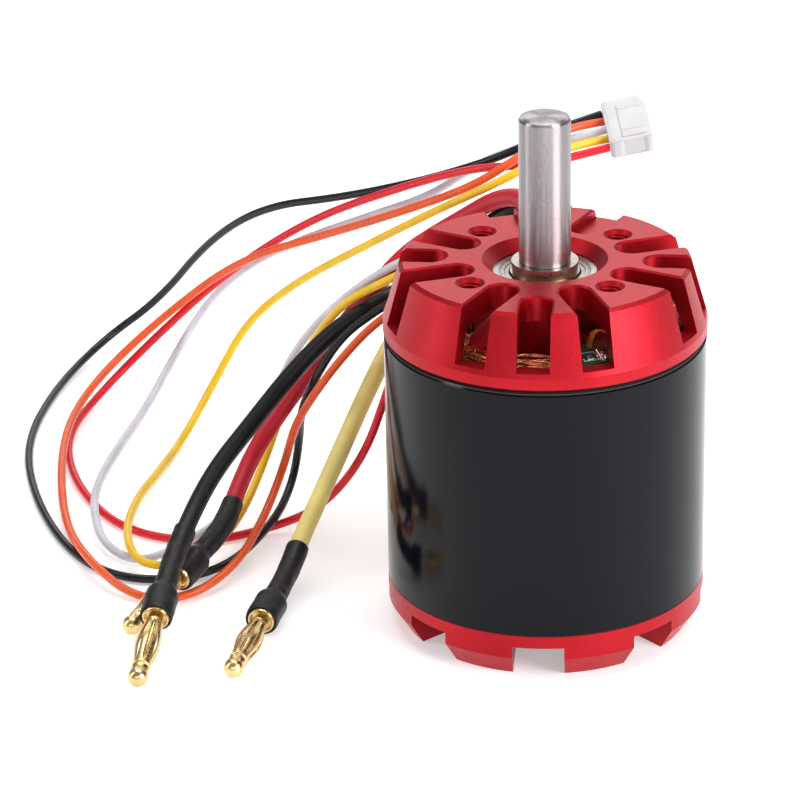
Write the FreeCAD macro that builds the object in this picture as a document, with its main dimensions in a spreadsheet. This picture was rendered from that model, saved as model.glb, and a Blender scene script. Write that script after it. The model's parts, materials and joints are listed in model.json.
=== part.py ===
"""Sensored brushless outrunner motor, 50 mm across and 60 mm tall, with its cables.

Millimetres, +Z up.  The origin is on the motor's axis at the height of the bottom rim, and -Y is the
side with the connectors' tips.  Everything that turns is listed after everything that stands still.
"""
import FreeCAD, Part
import math
import os
import re

import Sketcher

from FreeCAD import Placement, Rotation, Vector

doc = FreeCAD.newDocument("OutrunnerMotor")
UP = Vector(0, 0, 1)
ORIGIN = Vector(0, 0, 0)

# ---------------------------------------------------------------- driving dimensions
SIZES = {
    "body_radius": 25.0, "bell_top": 7.5, "ring_top": 48.05, "mount_bottom": 48.65, "top_face": 60.0,
    "shaft_radius": 4.0, "shaft_bottom": 0.8, "shaft_tip": 83.2, "tip_chamfer": 0.6,
    # rear bell
    "bell_plate": 3.4, "bell_chamfer_top": 3.6, "bell_foot_radius": 22.7, "bell_wall": 3.2,
    "spigot_top": 9.6, "spigot_wall": 2.0, "bell_slot_width": 8.0, "bell_slot_top": 5.5,
    "bell_slot_inner": 11.0, "hub_radius": 8.6, "hub_top": 9.2, "hub_nose_radius": 5.1,
    "hub_nose_top": 10.4, "grub_height": 4.6, "grub_radius": 1.5, "grub_length": 4.2,
    # flux ring and magnets
    "ring_wall": 1.8, "ring_chamfer": 0.35, "magnet_thickness": 2.3, "magnet_bottom": 10.0,
    "magnet_top": 46.0, "magnet_arc": 22.0,
    # front mount
    "mount_radius": 25.1, "band_top": 50.6, "top_radius": 22.4, "top_chamfer": 0.5, "plate_bottom": 56.0,
    "mount_wall": 2.2, "boss_radius": 11.0, "boss_bottom": 47.0, "socket_radius": 9.0, "socket_top": 51.0,
    "shoulder_radius": 6.7, "seat_bottom": 53.1, "seat_top": 58.3, "recess_radius": 9.7,
    "slot_width": 5.0, "slot_floor": 51.4, "long_slot_inner": 11.7, "short_slot_inner": 15.2,
    "slot_spread": 23.0, "recess_depth": 1.6, "slot_chamfer": 0.3,
    "bolt_circle_radius": 15.0, "bolt_hole": 3.3, "bolt_countersink": 4.6,
    "window_left": 18.6, "window_right": 10.5, "window_bottom": 50.6, "window_top": 55.9,
    # bearings, 8 x 16 x 5
    "bearing_radius": 8.0, "bearing_width": 5.0, "front_bearing_bottom": 53.1, "rear_bearing_bottom": 10.4,
    "inner_ring_radius": 5.35, "outer_ring_bore": 6.75, "ball_pitch_radius": 6.05, "ball_radius": 1.0,
    # stator
    "tube_bottom": 10.2, "tube_radius": 10.0, "tube_bore": 6.7, "tube_top": 50.8,
    "core_bottom": 14.0, "core_height": 30.0, "core_hub_radius": 13.0, "core_radius": 20.5,
    "tooth_width": 4.2, "tooth_tip_depth": 1.5,
    "tooth_tip_half_angle": 12.4, "insulator_thickness": 0.8,
    "insulator_lap": 0.2, "coil_inner": 13.5, "coil_outer": 18.3, "coil_inner_half": 3.3,
    "coil_outer_half": 4.25, "coil_corner": 1.6, "coil_rise": 3.6, "coil_clearance": 0.1,
    # sensor board
    "board_bottom": 50.6, "board_thickness": 0.8, "board_inner": 14.0, "board_outer": 21.8,
    # leads and sensor wires
    "lead_diameter": 3.0, "wire_diameter": 1.4,
    # bullet connectors and sleeves
    "cup_radius": 2.2, "cup_length": 6.0, "pin_radius": 1.1, "tip_radius": 1.55, "tip_distance": 13.6,
    "spring_radius": 2.0, "sleeve_radius": 1.85, "sleeve_cup_radius": 2.65,
    # sensor connector
    "housing_row": 9.8, "housing_depth": 7.2, "housing_thickness": 3.8, "pin_pitch": 2.0,
}

MOUNT_TURN = -4.2          # degrees: how the front mount's pattern is turned about the axis
BELL_TURN = -92.7          # degrees: one bell slot faces almost straight to -Y
TEETH = 12
MAGNETS = 14
BALLS = 10
BELL_SLOTS = 8
SPRING_LEAVES = 8

# Leads and sensor wires: hand-placed points from the windings or the board to the connector.
LEAD_ROUTES = {
    "lead_black": [
        (3.6, 15.2, 53.6), (3.8, 23.6, 53.7), (3.0, 31.4, 57.4), (-2.2, 37.0, 55.4),
        (-8.6, 40.4, 50.2), (-14.0, 42.2, 45.2), (-21.2, 37.4, 40.8), (-28.2, 32.8, 38.5),
        (-35.0, 30.6, 34.6), (-41.8, 27.4, 28.4), (-48.0, 21.4, 22.2), (-53.6, 15.2, 17.0),
        (-57.2, 8.2, 12.0), (-59.4, -0.1, 8.4), (-60.4, -8.2, 6.4)],
    "lead_red": [
        (0.3, 15.2, 53.7), (0.2, 23.8, 53.8), (-2.4, 31.8, 57.6), (-7.4, 38.2, 55.4),
        (-13.0, 41.6, 50.6), (-18.0, 42.0, 47.4), (-23.2, 39.8, 44.6), (-28.8, 37.2, 38.8),
        (-34.2, 35.8, 32.4), (-38.8, 34.6, 26.0), (-43.8, 32.8, 19.8), (-48.2, 29.6, 13.8),
        (-50.8, 22.8, 9.6), (-52.6, 14.5, 6.5), (-56.4, 7.2, 5.1)],
    "lead_yellow": [
        (-3.1, 15.2, 53.6), (-3.2, 23.6, 53.4), (-6.8, 31.4, 50.8), (-13.0, 35.6, 45.2),
        (-19.8, 34.8, 39.0), (-25.4, 30.6, 32.4), (-29.4, 26.0, 25.4), (-32.8, 22.0, 18.8),
        (-36.4, 16.6, 12.2), (-39.6, 10.0, 7.0), (-41.5, 2.5, 4.1), (-43.4, -5.0, 3.4)],
}
WIRE_ROUTES = {
    "wire_white": [
        (-5.7, 15.2, 52.3), (-6.4, 22.4, 52.6), (-11.4, 28.0, 51.6), (-18.6, 29.6, 49.6),
        (-26.0, 32.2, 45.2), (-32.6, 37.4, 38.4), (-38.6, 43.6, 30.4), (-43.8, 46.8, 21.8),
        (-47.2, 44.4, 12.4), (-50.0, 36.6, 5.4), (-53.2, 26.8, 3.0), (-58.8, 18.4, 2.4),
        (-66.4, 13.6, 0.8), (-73.0, 19.0, 1.6), (-75.8, 30.4, 3.1), (-76.4, 45.0, 1.2),
        (-74.4, 60.0, 0.8), (-71.0, 75.0, 1.2), (-66.6, 87.0, 6.6), (-61.0, 92.6, 14.4),
        (-53.0, 86.4, 24.0), (-42.0, 75.0, 33.6), (-29.0, 64.8, 42.0), (-19.0, 60.4, 47.2),
        (-11.6, 56.6, 54.0), (-5.0, 52.6, 58.4), (0.2, 50.8, 59.6), (5.2, 50.6, 60.9),
        (10.1, 51.1, 62.1)],
    "wire_yellow": [
        (-7.3, 15.2, 52.3), (-8.4, 22.0, 52.6), (-13.5, 26.4, 50.8), (-20.0, 28.0, 47.6),
        (-27.0, 30.0, 43.4), (-33.4, 34.8, 38.0), (-39.4, 40.8, 28.0), (-43.6, 43.2, 17.4),
        (-47.2, 36.6, 8.4), (-50.2, 27.0, 3.9), (-53.2, 16.8, 3.4), (-59.0, 8.4, 3.0),
        (-66.2, 9.4, 2.9), (-69.4, 20.0, 3.2), (-69.0, 34.6, 2.4), (-66.8, 48.0, 0.8),
        (-63.4, 62.0, 0.9), (-58.6, 75.0, 6.4), (-52.8, 79.2, 16.2), (-43.2, 71.2, 27.0),
        (-31.0, 58.0, 38.6), (-18.0, 45.5, 50.2), (-6.0, 38.2, 58.6), (0.4, 43.2, 60.9),
        (5.6, 48.3, 60.6), (10.4, 49.3, 61.2)],
    "wire_black": [
        (-8.9, 14.6, 52.3), (-10.3, 21.4, 52.3), (-14.9, 26.0, 48.8), (-20.6, 27.4, 44.2),
        (-27.4, 27.2, 39.9), (-33.2, 26.0, 35.8), (-37.8, 25.2, 28.4), (-40.4, 30.4, 20.4),
        (-41.2, 37.4, 12.2), (-42.4, 34.6, 5.4), (-45.0, 23.6, 3.3), (-52.6, 10.4, 0.8),
        (-66.0, 6.8, 0.8), (-77.0, 15.0, 0.8), (-86.0, 36.0, 0.8), (-91.0, 60.0, 0.8),
        (-88.6, 84.0, 0.8), (-81.6, 103.6, 2.2), (-71.0, 105.0, 9.6), (-60.6, 94.8, 25.4),
        (-49.4, 83.2, 36.4), (-35.0, 71.4, 42.6), (-22.0, 60.0, 49.6), (-12.6, 51.2, 55.6),
        (-5.4, 47.6, 59.6), (-0.4, 50.6, 61.4), (4.5, 53.8, 62.2), (9.5, 54.7, 63.6)],
    "wire_orange": [
        (-10.2, 13.6, 52.3), (-12.4, 20.8, 52.7), (-16.6, 24.8, 47.8), (-21.0, 26.4, 42.4),
        (-27.4, 26.2, 38.4), (-33.0, 24.0, 33.0), (-37.4, 22.6, 27.4), (-41.4, 29.0, 18.6),
        (-43.4, 32.6, 10.2), (-46.2, 21.6, 5.6), (-50.0, 9.0, 2.9), (-57.0, 1.4, 0.8),
        (-66.0, 1.0, 0.8), (-74.4, 10.2, 3.2), (-80.2, 28.0, 0.8), (-83.2, 46.6, 2.4),
        (-83.8, 66.0, 3.0), (-79.6, 82.0, 4.8), (-69.0, 88.4, 13.0), (-54.0, 81.2, 27.2),
        (-38.0, 66.6, 37.4), (-23.0, 51.8, 47.8), (-11.6, 42.6, 55.6), (-4.8, 42.6, 60.2),
        (-0.2, 47.4, 61.8), (4.9, 52.0, 62.5), (9.8, 52.9, 62.9)],
    "wire_red": [
        (-11.5, 12.4, 52.3), (-14.3, 19.2, 52.7), (-18.2, 23.9, 47.5), (-22.6, 24.4, 37.4),
        (-25.6, 22.6, 27.6), (-29.6, 20.8, 16.6), (-36.6, 24.2, 6.2), (-44.8, 27.4, 0.8),
        (-57.0, 21.0, 0.8), (-71.0, 26.4, 0.8), (-80.4, 44.0, 0.8), (-84.4, 64.0, 0.8),
        (-79.4, 81.6, 1.8), (-70.4, 88.6, 9.0), (-57.6, 86.6, 21.8), (-41.0, 73.8, 37.6),
        (-24.0, 58.6, 49.4), (-12.0, 48.2, 56.6), (-4.2, 44.4, 58.4), (1.4, 45.0, 58.8),
        (6.0, 46.9, 59.4), (10.7, 47.5, 60.4)],
}

# The sensor connector lies tilted: its row of pins, its mating direction and its broad face.
HOUSING_CENTRE = Vector(10.15, 51.10, 62.08)
HOUSING_ROW = Vector(-0.153, 0.897, 0.417)
HOUSING_MATING = Vector(0.980, 0.084, 0.172)


def make_sheet():
    """Write every driving dimension into a named cell."""
    sheet = doc.addObject("Spreadsheet::Sheet", "Sizes")
    for row, (alias, value) in enumerate(SIZES.items(), start=1):
        sheet.set("A%d" % row, alias)
        sheet.set("B%d" % row, str(value))
        sheet.setAlias("B%d" % row, alias)
    doc.recompute()
    return sheet


sheet = make_sheet()


def size(alias):
    return float(sheet.get(alias))


def cells(expression):
    """Turn bare aliases in an expression into references to the sheet's cells."""
    return re.sub(r"[a-z_]+", lambda word: "Sizes." + word[0] if word[0] in SIZES else word[0], expression)


# ---------------------------------------------------------------- sketch and feature helpers
def new_body(label):
    body = doc.addObject("PartDesign::Body", label)
    body.Label = label
    return body


def origin_feature(body, role):
    for feature in body.Origin.OriginFeatures:
        if feature.Role == role:
            return feature
    raise ValueError("no origin feature " + role)


def new_sketch(body, role, name, height=None, turn=0.0):
    """A sketch on one of the body's origin planes, raised and turned about its normal."""
    sketch = body.newObject("Sketcher::SketchObject", name)
    sketch.AttachmentSupport = (origin_feature(body, role), [""])
    sketch.MapMode = "FlatFace"
    sketch.AttachmentOffset = Placement(ORIGIN, Rotation(UP, turn))
    if height:
        sketch.setExpression("AttachmentOffset.Base.z", cells(height))
    return sketch


def bind(sketch, constraint, expression):
    sketch.setExpression("Constraints[%d]" % sketch.addConstraint(constraint), cells(expression))


def pin_vertex(sketch, line, vertex, place, axis):
    """Hold one coordinate of a vertex at an expression, or on the axis when that is zero."""
    kind, guide = ("DistanceX", -2) if axis == 0 else ("DistanceY", -1)
    if place == "0":
        sketch.addConstraint(Sketcher.Constraint("PointOnObject", line, vertex, guide))
    else:
        bind(sketch, Sketcher.Constraint(kind, -1, 1, line, vertex, 1.0), place)


def outline_sketch(body, role, name, corners, height=None, turn=0.0):
    """A closed polygon whose corners are pairs of expressions."""
    sketch = new_sketch(body, role, name, height, turn)
    count = len(corners)
    rough = []
    for index in range(count):
        angle = 2 * math.pi * index / count
        rough.append(Vector(40 + 20 * math.cos(angle), 40 + 20 * math.sin(angle), 0))
    for index in range(count):
        sketch.addGeometry(Part.LineSegment(rough[index], rough[(index + 1) % count]), False)
    for index in range(count):
        sketch.addConstraint(Sketcher.Constraint("Coincident", index, 2, (index + 1) % count, 1))
    for index, (across, along) in enumerate(corners):
        pin_vertex(sketch, index, 1, across, 0)
        pin_vertex(sketch, index, 1, along, 1)
    return sketch


def slot_sketch(body, name, inner, outer, width, height, turn=0.0):
    """A radial slot with a round inner end, open at the outer end."""
    sketch = new_sketch(body, "XY_Plane", name, height, turn)
    half, near, far = 2.5, 15.0, 30.0
    sketch.addGeometry(Part.LineSegment(Vector(near, half, 0), Vector(far, half, 0)), False)
    sketch.addGeometry(Part.LineSegment(Vector(far, half, 0), Vector(far, -half, 0)), False)
    sketch.addGeometry(Part.LineSegment(Vector(far, -half, 0), Vector(near, -half, 0)), False)
    sketch.addGeometry(
        Part.ArcOfCircle(Part.Circle(Vector(near, 0, 0), UP, half), math.pi / 2, 3 * math.pi / 2), False)
    sketch.addConstraint(Sketcher.Constraint("Coincident", 0, 2, 1, 1))
    sketch.addConstraint(Sketcher.Constraint("Coincident", 1, 2, 2, 1))
    sketch.addConstraint(Sketcher.Constraint("Tangent", 3, 1, 0, 1))
    sketch.addConstraint(Sketcher.Constraint("Tangent", 3, 2, 2, 2))
    sketch.addConstraint(Sketcher.Constraint("Horizontal", 0))
    sketch.addConstraint(Sketcher.Constraint("Horizontal", 2))
    sketch.addConstraint(Sketcher.Constraint("Vertical", 1))
    sketch.addConstraint(Sketcher.Constraint("PointOnObject", 3, 3, -1))
    bind(sketch, Sketcher.Constraint("Radius", 3, half), width + " / 2")
    bind(sketch, Sketcher.Constraint("DistanceX", -1, 1, 3, 3, near), inner + " + " + width + " / 2")
    bind(sketch, Sketcher.Constraint("DistanceX", -1, 1, 0, 2, far), outer)
    return sketch


def revolve(body, corners, name="Profile"):
    """Turn a polygon in the XZ plane once round the Z axis."""
    sketch = outline_sketch(body, "XZ_Plane", name, corners)
    feature = body.newObject("PartDesign::Revolution", name + "Revolution")
    feature.Profile = sketch
    feature.ReferenceAxis = (sketch, ["V_Axis"])
    feature.Angle = 360
    sketch.Visibility = False
    doc.recompute()
    return feature


def pad(body, sketch, length):
    feature = body.newObject("PartDesign::Pad", sketch.Name + "Pad")
    feature.Profile = sketch
    feature.setExpression("Length", cells(length))
    doc.recompute()
    return feature


def pocket(body, sketch, length, reversed_side=False):
    """Cut along the sketch's normal and make sure that something was cut."""
    before = body.Shape.Volume
    feature = body.newObject("PartDesign::Pocket", sketch.Name + "Pocket")
    feature.Profile = sketch
    feature.setExpression("Length", cells(length))
    feature.Reversed = reversed_side
    doc.recompute()
    if not body.Shape.Volume < before - 0.01:
        raise ValueError(body.Label + ": " + sketch.Name + " cuts nothing")
    return feature


def polar_pattern(body, originals, count, angle, name):
    feature = body.newObject("PartDesign::PolarPattern", name)
    feature.Originals = originals
    feature.Axis = (origin_feature(body, "Z_Axis"), [""])
    feature.Angle = angle
    feature.Occurrences = count
    body.Tip = feature
    doc.recompute()
    return feature


def dress_up(body, kind, edge_names, amount_name, amount):
    """Fillet or chamfer the named edges of the body's present shape."""
    base = body.Tip
    feature = body.newObject("PartDesign::" + kind, kind + "Edges")
    feature.Base = (base, edge_names)
    feature.setExpression(amount_name, cells(amount))
    body.Tip = feature
    doc.recompute()
    return feature


def new_part(label, shape, placement=None):
    """A sub-part whose shape is made with Part's own functions."""
    part = doc.addObject("Part::Feature", label)
    part.Label = label
    part.Shape = shape
    if placement:
        part.Placement = placement
    return part


def turned(shape, angle):
    copy = shape.copy()
    copy.rotate(ORIGIN, UP, angle)
    return copy


def ring(inner, outer, bottom, height):
    solid = Part.makeCylinder(outer, height, Vector(0, 0, bottom))
    return solid.cut(Part.makeCylinder(inner, height, Vector(0, 0, bottom)))


# ---------------------------------------------------------------- cords
def cord_edges(points):
    """Straight runs joined by tangent arcs, and the arcs' radii."""
    points = [Vector(*point) for point in points]
    edges = []
    radii = []
    start = points[0]
    for before, corner, after in zip(points, points[1:], points[2:]):
        towards = (before - corner).normalize()
        away = (after - corner).normalize()
        turn = math.pi - towards.getAngle(away)
        shorter = min((before - corner).Length, (after - corner).Length)
        setback = 0.45 * shorter
        radius = setback / math.tan(turn / 2)
        first = corner + towards * setback
        last = corner + away * setback
        middle_way = (towards + away).normalize()
        middle = corner + middle_way * (radius / math.cos(turn / 2) - radius)
        edges.append(Part.LineSegment(start, first).toShape())
        edges.append(Part.Arc(first, middle, last).toShape())
        radii.append(radius)
        start = last
    edges.append(Part.LineSegment(start, points[-1]).toShape())
    return edges, radii


def tube(edges, radius):
    """A round solid along a chain of edges."""
    path = Part.Wire(edges)
    first = edges[0]
    start = first.Vertexes[0].Point
    direction = first.tangentAt(first.FirstParameter)
    section = Part.Wire([Part.makeCircle(radius, start, direction)])
    return path.makePipeShell([section], True, False)


def make_cord(label, points, diameter):
    edges, radii = cord_edges(points)
    length = sum(edge.Length for edge in edges)
    solid = tube(edges, diameter / 2)
    expected = math.pi * diameter ** 2 / 4 * length
    if abs(solid.Volume - expected) > 0.01 * expected:
        raise ValueError(label + ": the tube's volume does not match its length")
    print("%s: length %.1f, radii %s" % (label, length, " ".join("%.1f" % radius for radius in radii)))
    return new_part(label, solid)


# ---------------------------------------------------------------- front mount
def make_front_mount():
    body = new_body("front_mount")
    revolve(body, [
        ("recess_radius", "top_face"), ("bearing_radius", "seat_top"), ("bearing_radius", "seat_bottom"),
        ("shoulder_radius", "seat_bottom"), ("shoulder_radius", "socket_top"),
        ("socket_radius", "socket_top"), ("socket_radius", "boss_bottom"), ("boss_radius", "boss_bottom"),
        ("boss_radius", "plate_bottom"), ("top_radius - mount_wall + 0.6", "plate_bottom"),
        ("mount_radius - mount_wall", "band_top"), ("mount_radius - mount_wall", "mount_bottom"),
        ("mount_radius - 0.25", "mount_bottom"), ("mount_radius", "mount_bottom + 0.25"),
        ("mount_radius", "band_top"), ("top_radius + top_chamfer * 0.3", "top_face - top_chamfer"),
        ("top_radius - top_chamfer", "top_face")])
    spread = size("slot_spread")
    group = (("Left", -spread, "long_slot_inner"), ("Middle", 0.0, "short_slot_inner"),
             ("Right", spread, "long_slot_inner"))
    outer = "mount_radius + 3"
    cuts = []
    for name, turn, inner in group:
        sketch = slot_sketch(body, name + "Slot", inner, outer, "slot_width", "top_face", 180 + turn)
        cuts.append(pocket(body, sketch, "top_face - slot_floor"))
    polar_pattern(body, cuts, 3, 180, "ThroughSlots")
    for name, turn, inner in group:
        sketch = slot_sketch(body, name + "Recess", inner, outer, "slot_width", "top_face", 90 + turn)
        pocket(body, sketch, "recess_depth")
    window = outline_sketch(body, "XY_Plane", "WireWindow", [
        ("- window_left", "boss_radius + 1"), ("window_right", "boss_radius + 1"), ("window_right", outer),
        ("- window_left", outer)], height="window_bottom")
    pocket(body, window, "window_top - window_bottom", reversed_side=True)
    chamfer_slots(body)
    drill_bolt_holes(body)
    body.Placement = Placement(ORIGIN, Rotation(UP, MOUNT_TURN))


def chamfer_slots(body):
    """Break the slots' long edges on the top face and the corners at the cone."""
    shape = body.Tip.Shape
    top = size("top_face")
    names = []
    for number, edge in enumerate(shape.Edges, start=1):
        ends = [vertex.Point for vertex in edge.Vertexes]
        if len(ends) < 2:
            continue
        middle = edge.valueAt((edge.FirstParameter + edge.LastParameter) / 2)
        radius = math.hypot(middle.x, middle.y)
        flat = all(abs(point.z - top) < 0.001 for point in ends + [middle])
        if flat and size("recess_radius") + 0.5 < radius < size("top_radius") - size("top_chamfer") - 0.05:
            names.append("Edge%d" % number)
    dress_up(body, "Chamfer", names, "Size", "slot_chamfer")


def drill_bolt_holes(body):
    sketch = new_sketch(body, "XY_Plane", "BoltCircle", "top_face")
    for index in range(4):
        angle = math.radians(45 + 90 * index)
        centre = Vector(math.cos(angle), math.sin(angle), 0) * size("bolt_circle_radius")
        sketch.addGeometry(Part.Circle(centre, UP, 1.0), False)
        bind(sketch, Sketcher.Constraint("DistanceX", -1, 1, index, 3, centre.x),
             "bolt_circle_radius * cos(%ddeg)" % (45 + 90 * index))
        bind(sketch, Sketcher.Constraint("DistanceY", -1, 1, index, 3, centre.y),
             "bolt_circle_radius * sin(%ddeg)" % (45 + 90 * index))
        sketch.addConstraint(Sketcher.Constraint("Radius", index, 1.0))
    doc.recompute()
    before = body.Shape.Volume
    hole = body.newObject("PartDesign::Hole", "BoltHoles")
    hole.Profile = sketch
    hole.Threaded = False
    hole.setExpression("Diameter", cells("bolt_hole"))
    hole.DepthType = "ThroughAll"
    hole.HoleCutType = "Countersink"
    hole.setExpression("HoleCutDiameter", cells("bolt_countersink"))
    hole.HoleCutCountersinkAngle = 90
    body.Tip = hole
    doc.recompute()
    if not body.Shape.Volume < before - 4 * 20:
        raise ValueError("the bolt holes cut too little")


# ---------------------------------------------------------------- bearing tube and bearings
def make_bearing_tube():
    body = new_body("bearing_tube")
    seat_top = "rear_bearing_bottom + bearing_width"
    revolve(body, [
        ("bearing_radius", "tube_bottom"), ("tube_radius - 0.4", "tube_bottom"),
        ("tube_radius", "tube_bottom + 0.4"), ("tube_radius", "boss_bottom"),
        ("socket_radius", "boss_bottom"), ("socket_radius", "tube_top"), ("tube_bore", "tube_top"),
        ("tube_bore", seat_top), ("bearing_radius", seat_top)])


def make_bearing(prefix, bottom):
    """A shielded ball bearing: outer ring, inner ring, balls, cage and two shields."""
    width = size("bearing_width")
    middle = bottom + width / 2
    pitch = size("ball_pitch_radius")
    ball = size("ball_radius")
    shield_step = 0.5
    shield_seat = size("outer_ring_bore") + 0.35
    track = Part.makeTorus(pitch, ball + 0.05, Vector(0, 0, middle), UP)
    outer = ring(size("outer_ring_bore"), size("bearing_radius"), bottom, width)
    for step_bottom in (bottom, bottom + width - shield_step):
        outer = outer.cut(Part.makeCylinder(shield_seat, shield_step, Vector(0, 0, step_bottom)))
    new_part(prefix + "_bearing_outer", outer.cut(track))
    inner = ring(size("shaft_radius"), size("inner_ring_radius"), bottom, width)
    new_part(prefix + "_bearing_inner", inner.cut(track))
    shields = []
    for shield_bottom in (bottom + 0.15, bottom + width - 0.45):
        shields.append(ring(size("inner_ring_radius") + 0.2, shield_seat, shield_bottom, 0.3))
    new_part(prefix + "_bearing_shields", Part.makeCompound(shields))
    centre = Vector(pitch, 0, middle)
    balls = [turned(Part.makeSphere(ball, centre), 360 * index / BALLS) for index in range(BALLS)]
    new_part(prefix + "_bearing_balls", Part.makeCompound(balls))
    cage = ring(pitch - 0.3, pitch + 0.3, middle - 1.2, 2.4)
    window = Part.makeCylinder(ball + 0.05, 2, Vector(pitch - 1, 0, middle), Vector(1, 0, 0))
    for index in range(BALLS):
        cage = cage.cut(turned(window, 360 * index / BALLS))
    new_part(prefix + "_bearing_cage", cage)


# ---------------------------------------------------------------- stator
def tooth_outline(width, root, shoulder, tip, half_angle):
    """One tooth in the XY plane: a straight arm with a wide curved tip."""
    lower = math.radians(-half_angle)
    upper = math.radians(half_angle)

    def polar(radius, angle):
        return Vector(radius * math.cos(angle), radius * math.sin(angle), 0)

    arm_angle = math.asin(width / 2 / shoulder)
    corners = [Vector(root, -width / 2, 0), polar(shoulder, -arm_angle), polar(tip - 0.7, lower),
               polar(tip, lower)]
    mirrored = [polar(tip, upper), polar(tip - 0.7, upper), polar(shoulder, arm_angle),
                Vector(root, width / 2, 0)]
    edges = [Part.makeLine(corners[index], corners[index + 1]) for index in range(3)]
    edges.append(Part.Arc(corners[3], Vector(tip, 0, 0), mirrored[0]).toShape())
    edges += [Part.makeLine(mirrored[index], mirrored[index + 1]) for index in range(3)]
    edges.append(Part.makeLine(mirrored[3], corners[0]))
    return Part.Face(Part.Wire(edges))


def star(height, bottom, tooth_width, hub_inner, hub_outer, tip, half_angle):
    """The stator's plan shape, extruded: a hub ring with the teeth standing out of it."""
    solid = ring(hub_inner, hub_outer, bottom, height)
    shoulder = size("core_radius") - size("tooth_tip_depth")
    tooth = tooth_outline(tooth_width, hub_outer - 0.5, shoulder, tip, half_angle)
    tooth.translate(Vector(0, 0, bottom))
    tooth = tooth.extrude(Vector(0, 0, height))
    teeth = [turned(tooth, 360 * (index + 0.5) / TEETH) for index in range(TEETH)]
    return solid.multiFuse(teeth).removeSplitter()


def make_stator():
    """Laminated core between two insulating end plates; the upper one has posts for the circuit board."""
    bottom = size("core_bottom")
    top = bottom + size("core_height")
    plate = size("insulator_thickness")
    lap = size("insulator_lap")
    hub = size("core_hub_radius")
    tube_wall = size("tube_radius")
    tip = size("core_radius")
    half_angle = size("tooth_tip_half_angle")
    core = star(top - bottom, bottom, size("tooth_width"), tube_wall, hub, tip, half_angle)
    new_part("stator_core", core)
    plan = (size("tooth_width") + 2 * lap, tube_wall + 0.1, hub + 0.3, tip - lap, half_angle - 0.2)
    new_part("rear_insulator", star(plate, bottom - plate, *plan))
    front = star(plate, top, *plan)
    post_height = size("board_bottom") - top
    posts = []
    for index in (-3, 0, 2, 4):
        post = Part.makeCylinder(0.7, post_height, Vector(19.5, 0, top))
        posts.append(turned(post, 360 * (index + 0.5) / TEETH))
    new_part("front_insulator", front.multiFuse(posts))


def make_coil():
    """One winding round a tooth: a wedge-shaped block with the tooth's own space left out."""
    inner, outer = size("coil_inner"), size("coil_outer")
    near, far = size("coil_inner_half"), size("coil_outer_half")
    gap = size("insulator_thickness")
    rise = gap + size("coil_rise")
    bottom = size("core_bottom") - rise
    height = size("core_height") + 2 * rise
    corners = [Vector(inner, -near, bottom), Vector(outer, -far, bottom), Vector(outer, far, bottom),
               Vector(inner, near, bottom)]
    block = Part.Face(Part.makePolygon(corners + corners[:1])).extrude(Vector(0, 0, height))
    long_edges = []
    for edge in block.Edges:
        span = edge.Vertexes[0].Point - edge.Vertexes[-1].Point
        if abs(span.z) < 0.01 and abs(span.x) > 1:
            long_edges.append(edge)
    block = block.makeFillet(size("coil_corner"), long_edges)
    width = size("tooth_width") + 2 * (size("insulator_lap") + size("coil_clearance"))
    space = Part.makeBox(2 * outer, width, size("core_height") + 2 * gap,
                         Vector(0, -width / 2, size("core_bottom") - gap))
    return block.cut(space)


def make_coils():
    """Twelve coils in three phases; neighbouring pairs of teeth share a phase."""
    coil = make_coil()
    for phase, first in (("a", 0), ("b", 2), ("c", 4)):
        teeth = (first, first + 1, first + 6, first + 7)
        new_part("coils_phase_" + phase,
                 Part.makeCompound([turned(coil, 360 * (index + 0.5) / TEETH) for index in teeth]))


def make_splices():
    """Crimp ferrules that join the windings' ends to the three leads."""
    ferrules = []
    length = 3.4
    for route in LEAD_ROUTES.values():
        start = Vector(*route[0])
        away = (start - Vector(*route[1])).normalize()
        ferrules.append(Part.makeCylinder(1.2, length, start, away))
    new_part("winding_splices", Part.makeCompound(ferrules))


def sector(inner, outer, bottom, height, first, last):
    """Part of a flat ring between two angles in degrees."""
    blank = Part.makeCylinder(outer, height, Vector(0, 0, bottom), UP, last - first)
    blank = blank.cut(Part.makeCylinder(inner, height, Vector(0, 0, bottom)))
    return turned(blank, first)


def make_sensor_board():
    """A curved circuit board above the end turns, with the sensors standing under its edge."""
    bottom = size("board_bottom")
    board = sector(size("board_inner"), size("board_outer"), bottom, size("board_thickness"), -85, 140)
    new_part("sensor_board", board)
    sensors = []
    for angle in (-60, 0, 60):
        body = Part.makeBox(1.5, 4.0, 3.2, Vector(18.8, -2.0, 45.2))
        sensors.append(turned(body, angle))
        for side in (-1.27, 0, 1.27):
            leg = Part.makeBox(0.4, 0.4, bottom - 48.4, Vector(19.3, side - 0.2, 48.4))
            sensors.append(turned(leg, angle))
    new_part("hall_sensors", Part.makeCompound(sensors))


# ---------------------------------------------------------------- leads, sleeves and bullet connectors
def axis_placement(route):
    """Where a bullet sits: its cup's back on the lead's end, its own +Z along the lead's last run."""
    end = Vector(*route[-1])
    along = (end - Vector(*route[-2])).normalize()
    return Placement(end, Rotation(UP, along))


def make_bullet(colour, place):
    body = new_body("bullet_" + colour)
    mouth = "cup_length"
    revolve(body, [
        ("0", "0"), ("cup_radius", "0"), ("cup_radius", mouth + " - 0.5"), ("cup_radius - 0.35", mouth),
        ("1.5", mouth), ("1.5", mouth + " + 1.2"), ("pin_radius", mouth + " + 1.2"),
        ("pin_radius", mouth + " + 11.3"), ("tip_radius", mouth + " + 11.3"),
        ("tip_radius", mouth + " + tip_distance"),
        ("tip_radius * 0.87", mouth + " + tip_distance + tip_radius * 0.5"),
        ("tip_radius * 0.5", mouth + " + tip_distance + tip_radius * 0.87"),
        ("0", mouth + " + tip_distance + tip_radius")])
    body.Placement = place


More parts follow.
